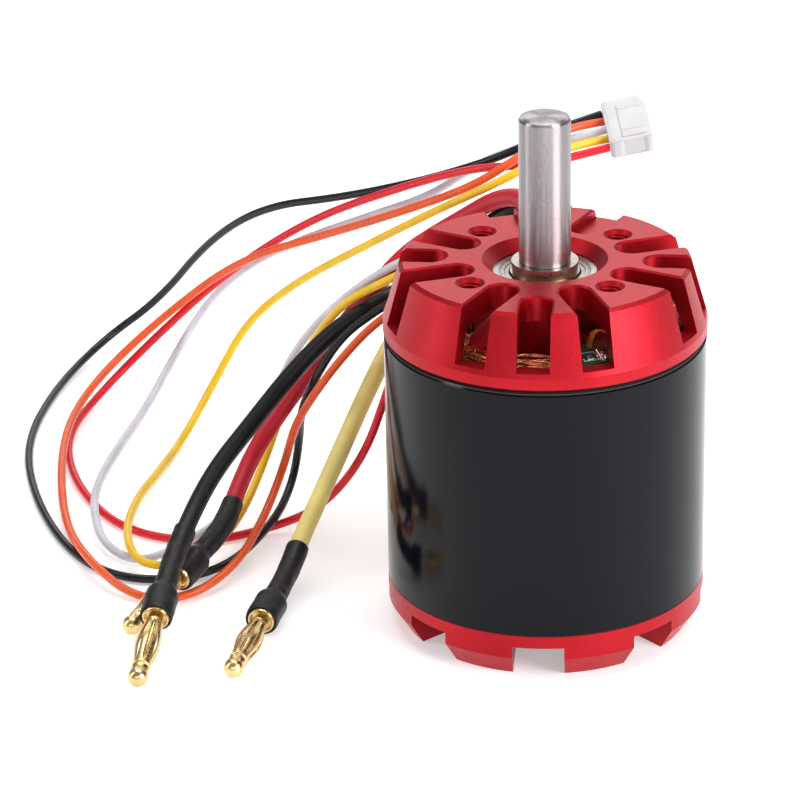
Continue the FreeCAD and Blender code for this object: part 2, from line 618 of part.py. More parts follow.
def make_spring(colour, place):
    """The slotted, bulging cage that grips the mating socket."""
    base = size("cup_length") + 1.2
    length = 10.0
    thickness = 0.25
    collar = 1.15 + thickness
    bulge = size("spring_radius")
    outside = [Vector(collar, 0, base), Vector(collar, 0, base + 1.2), Vector(bulge, 0, base + length / 2),
               Vector(collar, 0, base + length - 1.2), Vector(collar, 0, base + length)]
    shift = Vector(-thickness, 0, 0)
    edges = [Part.makeLine(outside[0], outside[1]), Part.Arc(outside[1], outside[2], outside[3]).toShape(),
             Part.makeLine(outside[3], outside[4]), Part.makeLine(outside[4], outside[4] + shift),
             Part.makeLine(outside[4] + shift, outside[3] + shift),
             Part.Arc(outside[3] + shift, outside[2] + shift, outside[1] + shift).toShape(),
             Part.makeLine(outside[1] + shift, outside[0] + shift),
             Part.makeLine(outside[0] + shift, outside[0])]
    cage = Part.Face(Part.Wire(edges)).revolve(ORIGIN, UP, 360)
    for index in range(SPRING_LEAVES):
        gap = Part.makeBox(5, 0.4, length - 2.8, Vector(0, -0.2, base + 1.4))
        cage = cage.cut(turned(gap, 360 * index / SPRING_LEAVES))
    new_part("spring_" + colour, cage, place)


def make_sleeve(colour, route, place):
    """Heat-shrink sleeve: tight on the lead, wider over the cup."""
    edges, _ = cord_edges(route)
    run = edges[-4:]
    bore = size("lead_diameter") / 2 + 0.05
    outside = tube(run, size("sleeve_radius"))
    hole = tube(run, bore)
    cup = size("cup_length")
    wide = size("sleeve_cup_radius")
    cover = Part.makeCylinder(wide, cup - 0.2, ORIGIN)
    neck = Part.makeCone(size("sleeve_radius"), wide, 1.6, Vector(0, 0, -1.6))
    cover = cover.fuse(neck)
    cover.Placement = place
    cavity = Part.makeCylinder(size("cup_radius") + 0.03, cup + 1, Vector(0, 0, -0.05))
    cavity.Placement = place
    new_part("sleeve_" + colour, outside.fuse(cover).cut(hole).cut(cavity))


def make_leads():
    for label, route in LEAD_ROUTES.items():
        colour = label.split("_")[1]
        place = axis_placement(route)
        make_cord(label, route, size("lead_diameter"))
        make_bullet(colour, place)
        make_spring(colour, place)
        make_sleeve(colour, route, place)
    for label, route in WIRE_ROUTES.items():
        make_cord(label, route, size("wire_diameter"))


# ---------------------------------------------------------------- sensor connector
def housing_placement():
    """Local X runs along the row of pins, local Z along the mating direction."""
    across = HOUSING_ROW.normalize()
    mating = (HOUSING_MATING - across * HOUSING_MATING.dot(across)).normalize()
    broad = mating.cross(across)
    matrix = FreeCAD.Matrix(across.x, broad.x, mating.x, 0, across.y, broad.y, mating.y, 0,
                            across.z, broad.z, mating.z, 0, 0, 0, 0, 1)
    return Placement(HOUSING_CENTRE, Rotation(matrix))


def make_housing(place):
    body = new_body("connector_housing")
    half_row, half_thick = "housing_row / 2", "housing_thickness / 2"
    left, under = "- housing_row / 2", "- housing_thickness / 2"
    block = outline_sketch(body, "XY_Plane", "Block", [
        (left, under + " + 0.9"), (left + " + 0.9", under), (half_row + " - 0.9", under),
        (half_row, under + " + 0.9"), (half_row, half_thick), (left, half_thick)])
    pad(body, block, "housing_depth")
    for side, name in (("1", "KeyOne"), ("- 1", "KeyTwo")):
        key = outline_sketch(body, "XY_Plane", name, [
            (side + " * 2.4 - 1.9", half_thick), (side + " * 2.4 + 1.9", half_thick),
            (side + " * 2.4 + 1.9", half_thick + " + 0.2"), (side + " * 2.4 - 1.9", half_thick + " + 0.2")])
        pad(body, key, "housing_depth - 1")
    cavity = outline_sketch(body, "XY_Plane", "Cavity", [
        ("- 2 * pin_pitch - 0.75", "- 0.75"), ("- 2 * pin_pitch + 0.75", "- 0.75"),
        ("- 2 * pin_pitch + 0.75", "0.75"), ("- 2 * pin_pitch - 0.75", "0.75")])
    cut = pocket(body, cavity, "housing_depth + 1", reversed_side=True)
    row = body.newObject("PartDesign::LinearPattern", "CavityRow")
    row.Originals = [cut]
    row.Direction = (origin_feature(body, "X_Axis"), [""])
    row.setExpression("Length", cells("4 * pin_pitch"))
    row.Occurrences = 5
    body.Tip = row
    doc.recompute()
    body.Placement = place


def make_terminals(place):
    """Five crimped box terminals, one in each cavity."""
    boxes = []
    for index in range(5):
        x = (index - 2) * size("pin_pitch")
        outer = Part.makeBox(1.2, 1.2, 6.8, Vector(x - 0.6, -0.6, 0))
        inner = Part.makeBox(0.8, 0.8, 3.4, Vector(x - 0.4, -0.4, 3.4))
        boxes.append(outer.cut(inner))
    new_part("connector_terminals", Part.makeCompound(boxes), place)


# ---------------------------------------------------------------- rotor
def make_rear_bell():
    body = new_body("rear_bell")
    wall = "body_radius - bell_wall"
    spigot = "body_radius - ring_wall - 0.02"
    revolve(body, [
        ("shaft_radius", "0"), ("bell_foot_radius", "0"), ("body_radius", "bell_chamfer_top"),
        ("body_radius", "bell_top"), (spigot, "bell_top"), (spigot, "spigot_top"),
        (spigot + " - spigot_wall", "spigot_top"), (wall, "bell_plate + 1.6"),
        (wall + " - 1.2", "bell_plate"), ("hub_radius", "bell_plate"), ("hub_radius", "hub_top"),
        ("hub_nose_radius", "hub_top"), ("hub_nose_radius", "hub_nose_top"),
        ("shaft_radius", "hub_nose_top")])
    sketch = slot_sketch(body, "BellSlot", "bell_slot_inner", "body_radius + 3", "bell_slot_width",
                         "bell_slot_top")
    cut = pocket(body, sketch, "bell_slot_top + 1")
    polar_pattern(body, [cut], BELL_SLOTS, 360, "BellSlots")
    grub = new_sketch(body, "XZ_Plane", "GrubHole")
    grub.addGeometry(Part.Circle(Vector(0, 4, 0), UP, 1), False)
    grub.addConstraint(Sketcher.Constraint("PointOnObject", 0, 3, -2))
    bind(grub, Sketcher.Constraint("DistanceY", -1, 1, 0, 3, 4), "grub_height")
    bind(grub, Sketcher.Constraint("Radius", 0, 1), "grub_radius")
    before = body.Shape.Volume
    hole = body.newObject("PartDesign::Pocket", "GrubHoles")
    hole.Profile = grub
    hole.Midplane = True
    hole.setExpression("Length", cells("2 * bell_slot_inner"))
    doc.recompute()
    if not body.Shape.Volume < before - 10:
        raise ValueError("the grub screw holes cut too little")
    body.Placement = Placement(ORIGIN, Rotation(UP, BELL_TURN))


def make_grub_screws():
    """Two hexagon-socket grub screws that hold the bell to the shaft."""
    screws = []
    start = size("shaft_radius")
    height = size("grub_height")
    length = size("grub_length")
    corner_radius = 0.86
    for direction in (1, -1):
        outward = Vector(0, direction, 0)
        inner_end = outward * start + UP * height
        screw = Part.makeCylinder(size("grub_radius") - 0.02, length, inner_end, outward)
        corners = []
        for index in range(7):
            angle = math.radians(60 * index)
            corners.append(Vector(corner_radius * math.cos(angle), direction * (start + length / 2),
                                  height + corner_radius * math.sin(angle)))
        socket = Part.Face(Part.makePolygon(corners)).extrude(outward * length)
        screws.append(screw.cut(socket))
    new_part("grub_screws", Part.makeCompound(screws), Placement(ORIGIN, Rotation(UP, BELL_TURN)))


def make_flux_ring():
    body = new_body("flux_ring")
    bore = "body_radius - ring_wall"
    revolve(body, [
        (bore, "bell_top"), ("body_radius - 0.15", "bell_top"), ("body_radius", "bell_top + 0.15"),
        ("body_radius", "ring_top - ring_chamfer"), ("body_radius - ring_chamfer", "ring_top"),
        (bore, "ring_top")])


def make_magnets():
    outer = size("body_radius") - size("ring_wall")
    inner = outer - size("magnet_thickness")
    bottom = size("magnet_bottom")
    height = size("magnet_top") - bottom
    half = size("magnet_arc") / 2
    magnet = sector(inner, outer, bottom, height, -half, half)
    magnets = [turned(magnet, 360 * index / MAGNETS) for index in range(MAGNETS)]
    new_part("magnets", Part.makeCompound(magnets))


def make_shaft():
    body = new_body("shaft")
    groove = "shaft_radius - 0.3"
    revolve(body, [
        ("0", "shaft_bottom"), ("shaft_radius - 0.4", "shaft_bottom"),
        ("shaft_radius", "shaft_bottom + 0.4"),
        ("shaft_radius", "top_face - 1.05"), (groove, "top_face - 1.05"), (groove, "top_face - 0.15"),
        ("shaft_radius", "top_face - 0.15"), ("shaft_radius", "shaft_tip - tip_chamfer"),
        ("shaft_radius - 0.25", "shaft_tip - 0.2"), ("shaft_radius - 0.7", "shaft_tip"),
        ("0", "shaft_tip")])


def make_retainers():
    """A shim on the front bearing's inner ring and a circlip in the shaft's groove above it."""
    seat = size("front_bearing_bottom") + size("bearing_width")
    shim = ring(size("shaft_radius") + 0.02, 5.1, seat, size("top_face") - 1.05 - seat)
    new_part("shim_ring", shim)
    bottom = size("top_face") - 1.0
    clip = ring(size("shaft_radius") - 0.25, 5.15, bottom, 0.8)
    for side in (-1, 1):
        ear = Part.makeCylinder(0.95, 0.8, Vector(side * 1.35, 5.3, bottom))
        clip = clip.fuse(ear)
    clip = clip.cut(Part.makeBox(0.9, 4, 0.8, Vector(-0.45, 3, bottom)))
    clip = clip.cut(Part.makeCylinder(size("shaft_radius") - 0.25, 0.8, Vector(0, 0, bottom)))
    for side in (-1, 1):
        clip = clip.cut(Part.makeCylinder(0.4, 0.8, Vector(side * 1.35, 5.4, bottom)))
    new_part("circlip", clip)


# ---------------------------------------------------------------- build, check and export
def build():
    make_front_mount()
    make_bearing_tube()
    make_bearing("front", size("front_bearing_bottom"))
    make_bearing("rear", size("rear_bearing_bottom"))
    make_stator()
    make_coils()
    make_splices()
    make_sensor_board()
    make_leads()
    place = housing_placement()
    make_housing(place)
    make_terminals(place)
    make_rear_bell()
    make_grub_screws()
    make_flux_ring()
    make_magnets()
    make_shaft()
    make_retainers()
    doc.recompute()


def sub_parts():
    """Every body, and every shape that isn't inside a body."""
    return [item for item in doc.Objects if item.TypeId in ("PartDesign::Body", "Part::Feature")]


def check_document():
    for item in doc.Objects:
        if "Invalid" in item.State or "Error" in item.State:
            raise ValueError(item.Label + " failed: " + str(item.State))
    for part in sub_parts():
        if part.Shape.isNull() or not part.Shape.isValid() or part.Shape.Volume <= 0:
            raise ValueError(part.Label + " has no valid shape")


def export():
    os.makedirs("parts", exist_ok=True)
    for part in sub_parts():
        part.Shape.exportStep(os.path.join("parts", part.Label + ".step"))
    print("%d sub-parts" % len(sub_parts()))


build()
check_document()
export()
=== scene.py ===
"""Looks of a sensored brushless outrunner motor: finishes, windings, cables, plugs, light and camera.

Metres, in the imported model's frame: +Z up the shaft, the floor at z = 0, -Y towards the camera.
"""

import json
import math
import random

import bmesh
import bpy
from mathutils import Matrix, Vector, noise


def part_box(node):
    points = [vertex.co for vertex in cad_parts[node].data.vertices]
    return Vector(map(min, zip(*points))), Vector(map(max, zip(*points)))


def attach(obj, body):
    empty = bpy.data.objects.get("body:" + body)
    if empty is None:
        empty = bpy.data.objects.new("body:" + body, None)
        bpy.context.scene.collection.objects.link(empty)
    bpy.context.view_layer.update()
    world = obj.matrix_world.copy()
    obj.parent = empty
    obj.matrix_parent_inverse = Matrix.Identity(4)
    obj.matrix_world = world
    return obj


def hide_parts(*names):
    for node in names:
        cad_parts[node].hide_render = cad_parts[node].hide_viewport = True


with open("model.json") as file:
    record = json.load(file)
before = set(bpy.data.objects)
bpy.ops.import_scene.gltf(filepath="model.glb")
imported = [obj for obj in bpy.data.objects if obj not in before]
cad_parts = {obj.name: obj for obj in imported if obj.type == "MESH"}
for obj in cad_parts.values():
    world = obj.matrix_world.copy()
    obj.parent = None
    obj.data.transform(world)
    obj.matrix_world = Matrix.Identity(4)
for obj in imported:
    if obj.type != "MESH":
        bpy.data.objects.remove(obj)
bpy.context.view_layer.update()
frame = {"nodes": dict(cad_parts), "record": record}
nodes = frame["nodes"]
MM = 0.001
UP = Vector((0, 0, 1))
TAU = 2 * math.pi

# ---------------------------------------------------------------- sizes, most of them from the frame
TOP_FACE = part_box("front_mount")[1].z
CORE_LOW, CORE_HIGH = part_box("stator_core")[0].z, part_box("stator_core")[1].z
BOARD_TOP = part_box("sensor_board")[1].z
MOUNT_TURN = math.radians(-4.2)
TEETH = 12

# ---------------------------------------------------------------- routes of the leads and sensor wires
LEAD_DIAMETER = 0.0030
WIRE_DIAMETER = 0.0014
LEADS = {
    "lead_black": [
        (0.0036, 0.0152, 0.0536), (0.0038, 0.0236, 0.0537), (0.0030, 0.0314, 0.0574),
        (-0.0022, 0.0370, 0.0554), (-0.0086, 0.0404, 0.0502), (-0.0140, 0.0422, 0.0452),
        (-0.0212, 0.0374, 0.0408), (-0.0282, 0.0328, 0.0385), (-0.0350, 0.0306, 0.0346),
        (-0.0418, 0.0274, 0.0284), (-0.0480, 0.0214, 0.0222), (-0.0536, 0.0152, 0.0170),
        (-0.0572, 0.0082, 0.0120), (-0.0594, -0.0001, 0.0084), (-0.0604, -0.0082, 0.0064)],
    "lead_red": [
        (0.0003, 0.0152, 0.0537), (0.0002, 0.0238, 0.0538), (-0.0024, 0.0318, 0.0576),
        (-0.0074, 0.0382, 0.0554), (-0.0130, 0.0416, 0.0506), (-0.0180, 0.0420, 0.0474),
        (-0.0232, 0.0398, 0.0446), (-0.0288, 0.0372, 0.0388), (-0.0342, 0.0358, 0.0324),
        (-0.0388, 0.0346, 0.0260), (-0.0438, 0.0328, 0.0198), (-0.0482, 0.0296, 0.0138),
        (-0.0508, 0.0228, 0.0096), (-0.0526, 0.0145, 0.0065), (-0.0564, 0.0072, 0.0051)],
    "lead_yellow": [
        (-0.0031, 0.0152, 0.0536), (-0.0032, 0.0236, 0.0534), (-0.0068, 0.0314, 0.0508),
        (-0.0130, 0.0356, 0.0452), (-0.0198, 0.0348, 0.0390), (-0.0254, 0.0306, 0.0324),
        (-0.0294, 0.0260, 0.0254), (-0.0328, 0.0220, 0.0188), (-0.0364, 0.0166, 0.0122),
        (-0.0396, 0.0100, 0.0070), (-0.0415, 0.0025, 0.0041), (-0.0434, -0.0050, 0.0034)],
}
WIRES = {
    "wire_white": [
        (-0.0057, 0.0152, 0.0523), (-0.0064, 0.0224, 0.0526), (-0.0114, 0.0280, 0.0516),
        (-0.0186, 0.0296, 0.0496), (-0.0260, 0.0322, 0.0452), (-0.0326, 0.0374, 0.0384),
        (-0.0386, 0.0436, 0.0304), (-0.0438, 0.0468, 0.0218), (-0.0472, 0.0444, 0.0124),
        (-0.0500, 0.0366, 0.0054), (-0.0532, 0.0268, 0.0030), (-0.0588, 0.0184, 0.0024),
        (-0.0664, 0.0136, 0.0008), (-0.0730, 0.0190, 0.0016), (-0.0758, 0.0304, 0.0031),
        (-0.0764, 0.0450, 0.0012), (-0.0744, 0.0600, 0.0008), (-0.0710, 0.0750, 0.0012),
        (-0.0666, 0.0870, 0.0066), (-0.0610, 0.0926, 0.0144), (-0.0530, 0.0864, 0.0240),
        (-0.0420, 0.0750, 0.0336), (-0.0290, 0.0648, 0.0420), (-0.0190, 0.0604, 0.0472),
        (-0.0116, 0.0566, 0.0540), (-0.0050, 0.0526, 0.0584), (0.0002, 0.0508, 0.0596),
        (0.0052, 0.0506, 0.0609), (0.0101, 0.0511, 0.0621)],
    "wire_yellow": [
        (-0.0073, 0.0152, 0.0523), (-0.0084, 0.0220, 0.0526), (-0.0135, 0.0264, 0.0508),
        (-0.0200, 0.0280, 0.0476), (-0.0270, 0.0300, 0.0434), (-0.0334, 0.0348, 0.0380),
        (-0.0394, 0.0408, 0.0280), (-0.0436, 0.0432, 0.0174), (-0.0472, 0.0366, 0.0084),
        (-0.0502, 0.0270, 0.0039), (-0.0532, 0.0168, 0.0034), (-0.0590, 0.0084, 0.0030),
        (-0.0662, 0.0094, 0.0029), (-0.0694, 0.0200, 0.0032), (-0.0690, 0.0346, 0.0024),
        (-0.0668, 0.0480, 0.0008), (-0.0634, 0.0620, 0.0009), (-0.0586, 0.0750, 0.0064),
        (-0.0528, 0.0792, 0.0162), (-0.0432, 0.0712, 0.0270), (-0.0310, 0.0580, 0.0386),
        (-0.0180, 0.0455, 0.0502), (-0.0060, 0.0382, 0.0586), (0.0004, 0.0432, 0.0609),
        (0.0056, 0.0483, 0.0606), (0.0104, 0.0493, 0.0612)],
    "wire_black": [
        (-0.0089, 0.0146, 0.0523), (-0.0103, 0.0214, 0.0523), (-0.0149, 0.0260, 0.0488),
        (-0.0206, 0.0274, 0.0442), (-0.0274, 0.0272, 0.0399), (-0.0332, 0.0260, 0.0358),
        (-0.0378, 0.0252, 0.0284), (-0.0404, 0.0304, 0.0204), (-0.0412, 0.0374, 0.0122),
        (-0.0424, 0.0346, 0.0054), (-0.0450, 0.0236, 0.0033), (-0.0526, 0.0104, 0.0008),
        (-0.0660, 0.0068, 0.0008), (-0.0770, 0.0150, 0.0008), (-0.0860, 0.0360, 0.0008),
        (-0.0910, 0.0600, 0.0008), (-0.0886, 0.0840, 0.0008), (-0.0816, 0.1036, 0.0022),
        (-0.0710, 0.1050, 0.0096), (-0.0606, 0.0948, 0.0254), (-0.0494, 0.0832, 0.0364),
        (-0.0350, 0.0714, 0.0426), (-0.0220, 0.0600, 0.0496), (-0.0126, 0.0512, 0.0556),
        (-0.0054, 0.0476, 0.0596), (-0.0004, 0.0506, 0.0614), (0.0045, 0.0538, 0.0622),
        (0.0095, 0.0547, 0.0636)],
    "wire_orange": [
        (-0.0102, 0.0136, 0.0523), (-0.0124, 0.0208, 0.0527), (-0.0166, 0.0248, 0.0478),
        (-0.0210, 0.0264, 0.0424), (-0.0274, 0.0262, 0.0384), (-0.0330, 0.0240, 0.0330),
        (-0.0374, 0.0226, 0.0274), (-0.0414, 0.0290, 0.0186), (-0.0434, 0.0326, 0.0102),
        (-0.0462, 0.0216, 0.0056), (-0.0500, 0.0090, 0.0029), (-0.0570, 0.0014, 0.0008),
        (-0.0660, 0.0010, 0.0008), (-0.0744, 0.0102, 0.0032), (-0.0802, 0.0280, 0.0008),
        (-0.0832, 0.0466, 0.0024), (-0.0838, 0.0660, 0.0030), (-0.0796, 0.0820, 0.0048),
        (-0.0690, 0.0884, 0.0130), (-0.0540, 0.0812, 0.0272), (-0.0380, 0.0666, 0.0374),
        (-0.0230, 0.0518, 0.0478), (-0.0116, 0.0426, 0.0556), (-0.0048, 0.0426, 0.0602),
        (-0.0002, 0.0474, 0.0618), (0.0049, 0.0520, 0.0625), (0.0098, 0.0529, 0.0629)],
    "wire_red": [
        (-0.0115, 0.0124, 0.0523), (-0.0143, 0.0192, 0.0527), (-0.0182, 0.0239, 0.0475),
        (-0.0226, 0.0244, 0.0374), (-0.0256, 0.0226, 0.0276), (-0.0296, 0.0208, 0.0166),
        (-0.0366, 0.0242, 0.0062), (-0.0448, 0.0274, 0.0008), (-0.0570, 0.0210, 0.0008),
        (-0.0710, 0.0264, 0.0008), (-0.0804, 0.0440, 0.0008), (-0.0844, 0.0640, 0.0008),
        (-0.0794, 0.0816, 0.0018), (-0.0704, 0.0886, 0.0090), (-0.0576, 0.0866, 0.0218),
        (-0.0410, 0.0738, 0.0376), (-0.0240, 0.0586, 0.0494), (-0.0120, 0.0482, 0.0566),
        (-0.0042, 0.0444, 0.0584), (0.0014, 0.0450, 0.0588), (0.0060, 0.0469, 0.0594),
        (0.0107, 0.0475, 0.0604)],
}


# ---------------------------------------------------------------- materials
class Shader:
    """A Principled material and short calls for the nodes that vary it."""

    def __init__(self, name, colour, roughness, metallic=0.0, **sockets):
        self.material = bpy.data.materials.new(name)
        self.material.use_nodes = True
        self.tree = self.material.node_tree
        self.main = self.tree.nodes["Principled BSDF"]
        self.main.inputs["Base Color"].default_value = (*colour, 1)
        self.main.inputs["Roughness"].default_value = roughness
        self.main.inputs["Metallic"].default_value = metallic
        for socket, value in sockets.items():
            self.main.inputs[socket.replace("_", " ")].default_value = value
        self.place = self.tree.nodes.new("ShaderNodeTexCoord").outputs["Object"]

    def link(self, start, end):
        self.tree.links.new(start, end)

    def noise(self, scale, detail=3.0, stretch=(1, 1, 1)):
        """Noise with features of 1 / scale metres, stretched along the axes."""
        mapping = self.tree.nodes.new("ShaderNodeMapping")
        mapping.inputs["Scale"].default_value = stretch
        texture = self.tree.nodes.new("ShaderNodeTexNoise")
        texture.inputs["Scale"].default_value = scale
        texture.inputs["Detail"].default_value = detail
        self.link(self.place, mapping.inputs["Vector"])
        self.link(mapping.outputs[0], texture.inputs["Vector"])
        return texture.outputs[0]

    def ramp(self, value, stops):
        ramp = self.tree.nodes.new("ShaderNodeValToRGB")
        elements = ramp.color_ramp.elements
        while len(elements) < len(stops):
            elements.new(0.5)
        for element, (position, colour) in zip(elements, stops):
            element.position = position
            element.color = (*colour, 1)
        self.link(value, ramp.inputs[0])
        return ramp.outputs[0]

    def colours(self, value, dark, light, low=0.35, high=0.65):
        self.link(self.ramp(value, [(low, dark), (high, light)]), self.main.inputs["Base Color"])

    def roughness(self, value, low, high):
        spread = self.tree.nodes.new("ShaderNodeMapRange")
        spread.inputs["From Min"].default_value = 0.3
        spread.inputs["From Max"].default_value = 0.7
        spread.inputs["To Min"].default_value = low
        spread.inputs["To Max"].default_value = high
        self.link(value, spread.inputs["Value"])
        self.link(spread.outputs[0], self.main.inputs["Roughness"])

    def bump(self, value, height, strength=1.0):
        """Raise the surface by up to height metres; further calls add to the first."""
        node = self.tree.nodes.new("ShaderNodeBump")
        node.inputs["Strength"].default_value = strength
        node.inputs["Distance"].default_value = height
        self.link(value, node.inputs["Height"])
        normal = self.main.inputs["Normal"]
        if normal.is_linked:
            self.link(normal.links[0].from_socket, node.inputs["Normal"])
        self.link(node.outputs[0], normal)

    def height_band(self, edges, inside, outside):
        """One colour inside bands of height given in metres, another outside them."""
        separate = self.tree.nodes.new("ShaderNodeSeparateXYZ")
        self.link(self.place, separate.inputs[0])
        spread = self.tree.nodes.new("ShaderNodeMapRange")
        spread.inputs["From Min"].default_value = edges[0]
        spread.inputs["From Max"].default_value = edges[-1]
        self.link(separate.outputs["Z"], spread.inputs["Value"])
        span = edges[-1] - edges[0]
        stops = [((edge - edges[0]) / span, colour) for edge, colour in zip(edges, [inside, outside, inside])]
        output = self.ramp(spread.outputs[0], stops)
        output.node.color_ramp.interpolation = "CONSTANT"
        return output


def red_anodised():
    shader = Shader("red_anodised", (0.42, 0.003, 0.011), 0.40, 0.88,
                    Coat_Weight=0.22, Coat_Roughness=0.35, Coat_IOR=1.45)
    shader.colours(shader.noise(90, 4), (0.39, 0.002, 0.009), (0.46, 0.005, 0.014))
    grain = shader.noise(3200, 2)
    shader.roughness(grain, 0.34, 0.50)
    shader.bump(grain, 0.00005, 0.80)
    shader.bump(shader.noise(1400, 3), 0.00002, 0.20)
    return shader.material


def black_can():
    """Glossy black paint with a thin lighter band at each end."""
    shader = Shader("black_can", (0.002, 0.002, 0.003), 0.13, 0.0, IOR=1.27)
    low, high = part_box("flux_ring")[0].z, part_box("flux_ring")[1].z
    edges = (low, low + 0.00012, high - 0.00014)
    # lighter colour in a thin band at the foot (0.12 mm) and the top (0.14 mm) of the can, near-black between
    body = shader.height_band(edges, (0.06, 0.052, 0.05), (0.0006, 0.0009, 0.0030))
    shader.link(body, shader.main.inputs["Base Color"])
    shader.roughness(shader.noise(60, 5), 0.10, 0.17)
    shader.bump(shader.noise(900, 2, (1, 1, 0.15)), 0.00001, 0.25)
    return shader.material


def ground_steel():
    """Steel ground round its axis, so that reflections spread along the shaft."""
    shader = Shader("ground_steel", (0.42, 0.39, 0.40), 0.30, 1.0,
                    Anisotropic=0.90, Anisotropic_Rotation=0.25)
    tangent = shader.tree.nodes.new("ShaderNodeTangent")
    tangent.direction_type = "RADIAL"
    tangent.axis = "Z"
    shader.link(tangent.outputs["Tangent"], shader.main.inputs["Tangent"])
    streaks = shader.noise(420, 4, (1, 1, 0.04))
    shader.colours(streaks, (0.27, 0.25, 0.26), (0.42, 0.39, 0.40))
    shader.roughness(shader.noise(3200, 3), 0.27, 0.42)
    shader.bump(shader.noise(3600, 2), 0.000002, 0.30)
    return shader.material


def metal(name, colour, roughness, grain=3000):
    shader = Shader(name, colour, roughness, 1.0)
    darker = tuple(channel * 0.82 for channel in colour)
    shader.colours(shader.noise(grain / 8, 4), darker, colour)
    texture = shader.noise(grain, 2)
    shader.roughness(texture, roughness * 0.75, roughness * 1.3)
    shader.bump(texture, 0.000001, 0.4)
    return shader.material


def plastic(name, colour, roughness, grain=1500, height=0.00002, **sockets):
    shader = Shader(name, colour, roughness, 0.0, **sockets)
    darker = tuple(channel * 0.85 for channel in colour)
    shader.colours(shader.noise(grain / 12, 4), darker, colour)
    texture = shader.noise(grain, 3)
    shader.roughness(texture, roughness * 0.8, roughness * 1.2)
    shader.bump(texture, height, 0.35)
    return shader.material


def enamelled_copper():
    shader = Shader("enamelled_copper", (0.90, 0.32, 0.12), 0.30, 0.75, Coat_Weight=0.4, Coat_Roughness=0.15)
    shader.colours(shader.noise(420, 3), (0.70, 0.16, 0.06), (1.00, 0.38, 0.16))
    shader.roughness(shader.noise(1500, 2), 0.16, 0.32)
    shader.bump(shader.noise(1200, 2), 0.00002, 0.3)
    return shader.material


def lamination_steel():
    shader = Shader("lamination_steel", (0.20, 0.21, 0.22), 0.45, 0.8)
    sheets = shader.noise(2900, 1, (0.02, 0.02, 1))
    shader.colours(sheets, (0.08, 0.085, 0.09), (0.28, 0.28, 0.29), 0.42, 0.58)
    shader.roughness(shader.noise(800, 3), 0.38, 0.55)
    shader.bump(sheets, 0.00008, 0.6)
    return shader.material


def circuit_board():
    shader = Shader("circuit_board", (0.015, 0.16, 0.055), 0.28, 0.0, Coat_Weight=0.5, Coat_Roughness=0.08)
    tracks = shader.noise(330, 1, (1, 2.5, 1))
    shader.colours(tracks, (0.002, 0.022, 0.012), (0.006, 0.060, 0.026), 0.47, 0.53)
    shader.roughness(shader.noise(2500, 2), 0.22, 0.36)
    shader.bump(tracks, 0.00003, 0.5)
    return shader.material


def silicone(name, colour):
    shader = Shader(name, colour, 0.42, 0.0, IOR=1.40)
    shader.colours(shader.noise(160, 4), tuple(channel * 0.86 for channel in colour), colour)
    shader.roughness(shader.noise(1800, 3), 0.34, 0.52)
    shader.bump(shader.noise(2200, 3), 0.00002, 0.4)
    shader.bump(shader.noise(260, 2), 0.00004, 0.3)
    return shader.material


def insulation(name, colour):
    shader = Shader(name, colour, 0.34, 0.0, IOR=1.40)
    shader.colours(shader.noise(240, 3), tuple(channel * 0.88 for channel in colour), colour)
    shader.roughness(shader.noise(1500, 2), 0.24, 0.38)
    shader.bump(shader.noise(1600, 3), 0.000008, 0.35)
    return shader.material


def nylon():
    shader = Shader("white_nylon", (0.54, 0.53, 0.54), 0.34, 0.0,
                    Subsurface_Weight=0.25, Subsurface_Scale=0.001)
    shader.colours(shader.noise(260, 3), (0.52, 0.51, 0.52), (0.57, 0.56, 0.57))
    shader.roughness(shader.noise(900, 3), 0.28, 0.42)
    shader.bump(shader.noise(1400, 3), 0.00002, 0.3)
    return shader.material


def heat_shrink():
    shader = Shader("shrink_sleeve", (0.006, 0.006, 0.006), 0.44, 0.0, IOR=1.36)
    shader.colours(shader.noise(500, 4), (0.004, 0.004, 0.004), (0.010, 0.010, 0.010))
    shader.roughness(shader.noise(1300, 3), 0.34, 0.56)
    shader.bump(shader.noise(420, 4), 0.00012, 0.35)
    shader.bump(shader.noise(2600, 3), 0.00002, 0.4)
    return shader.material


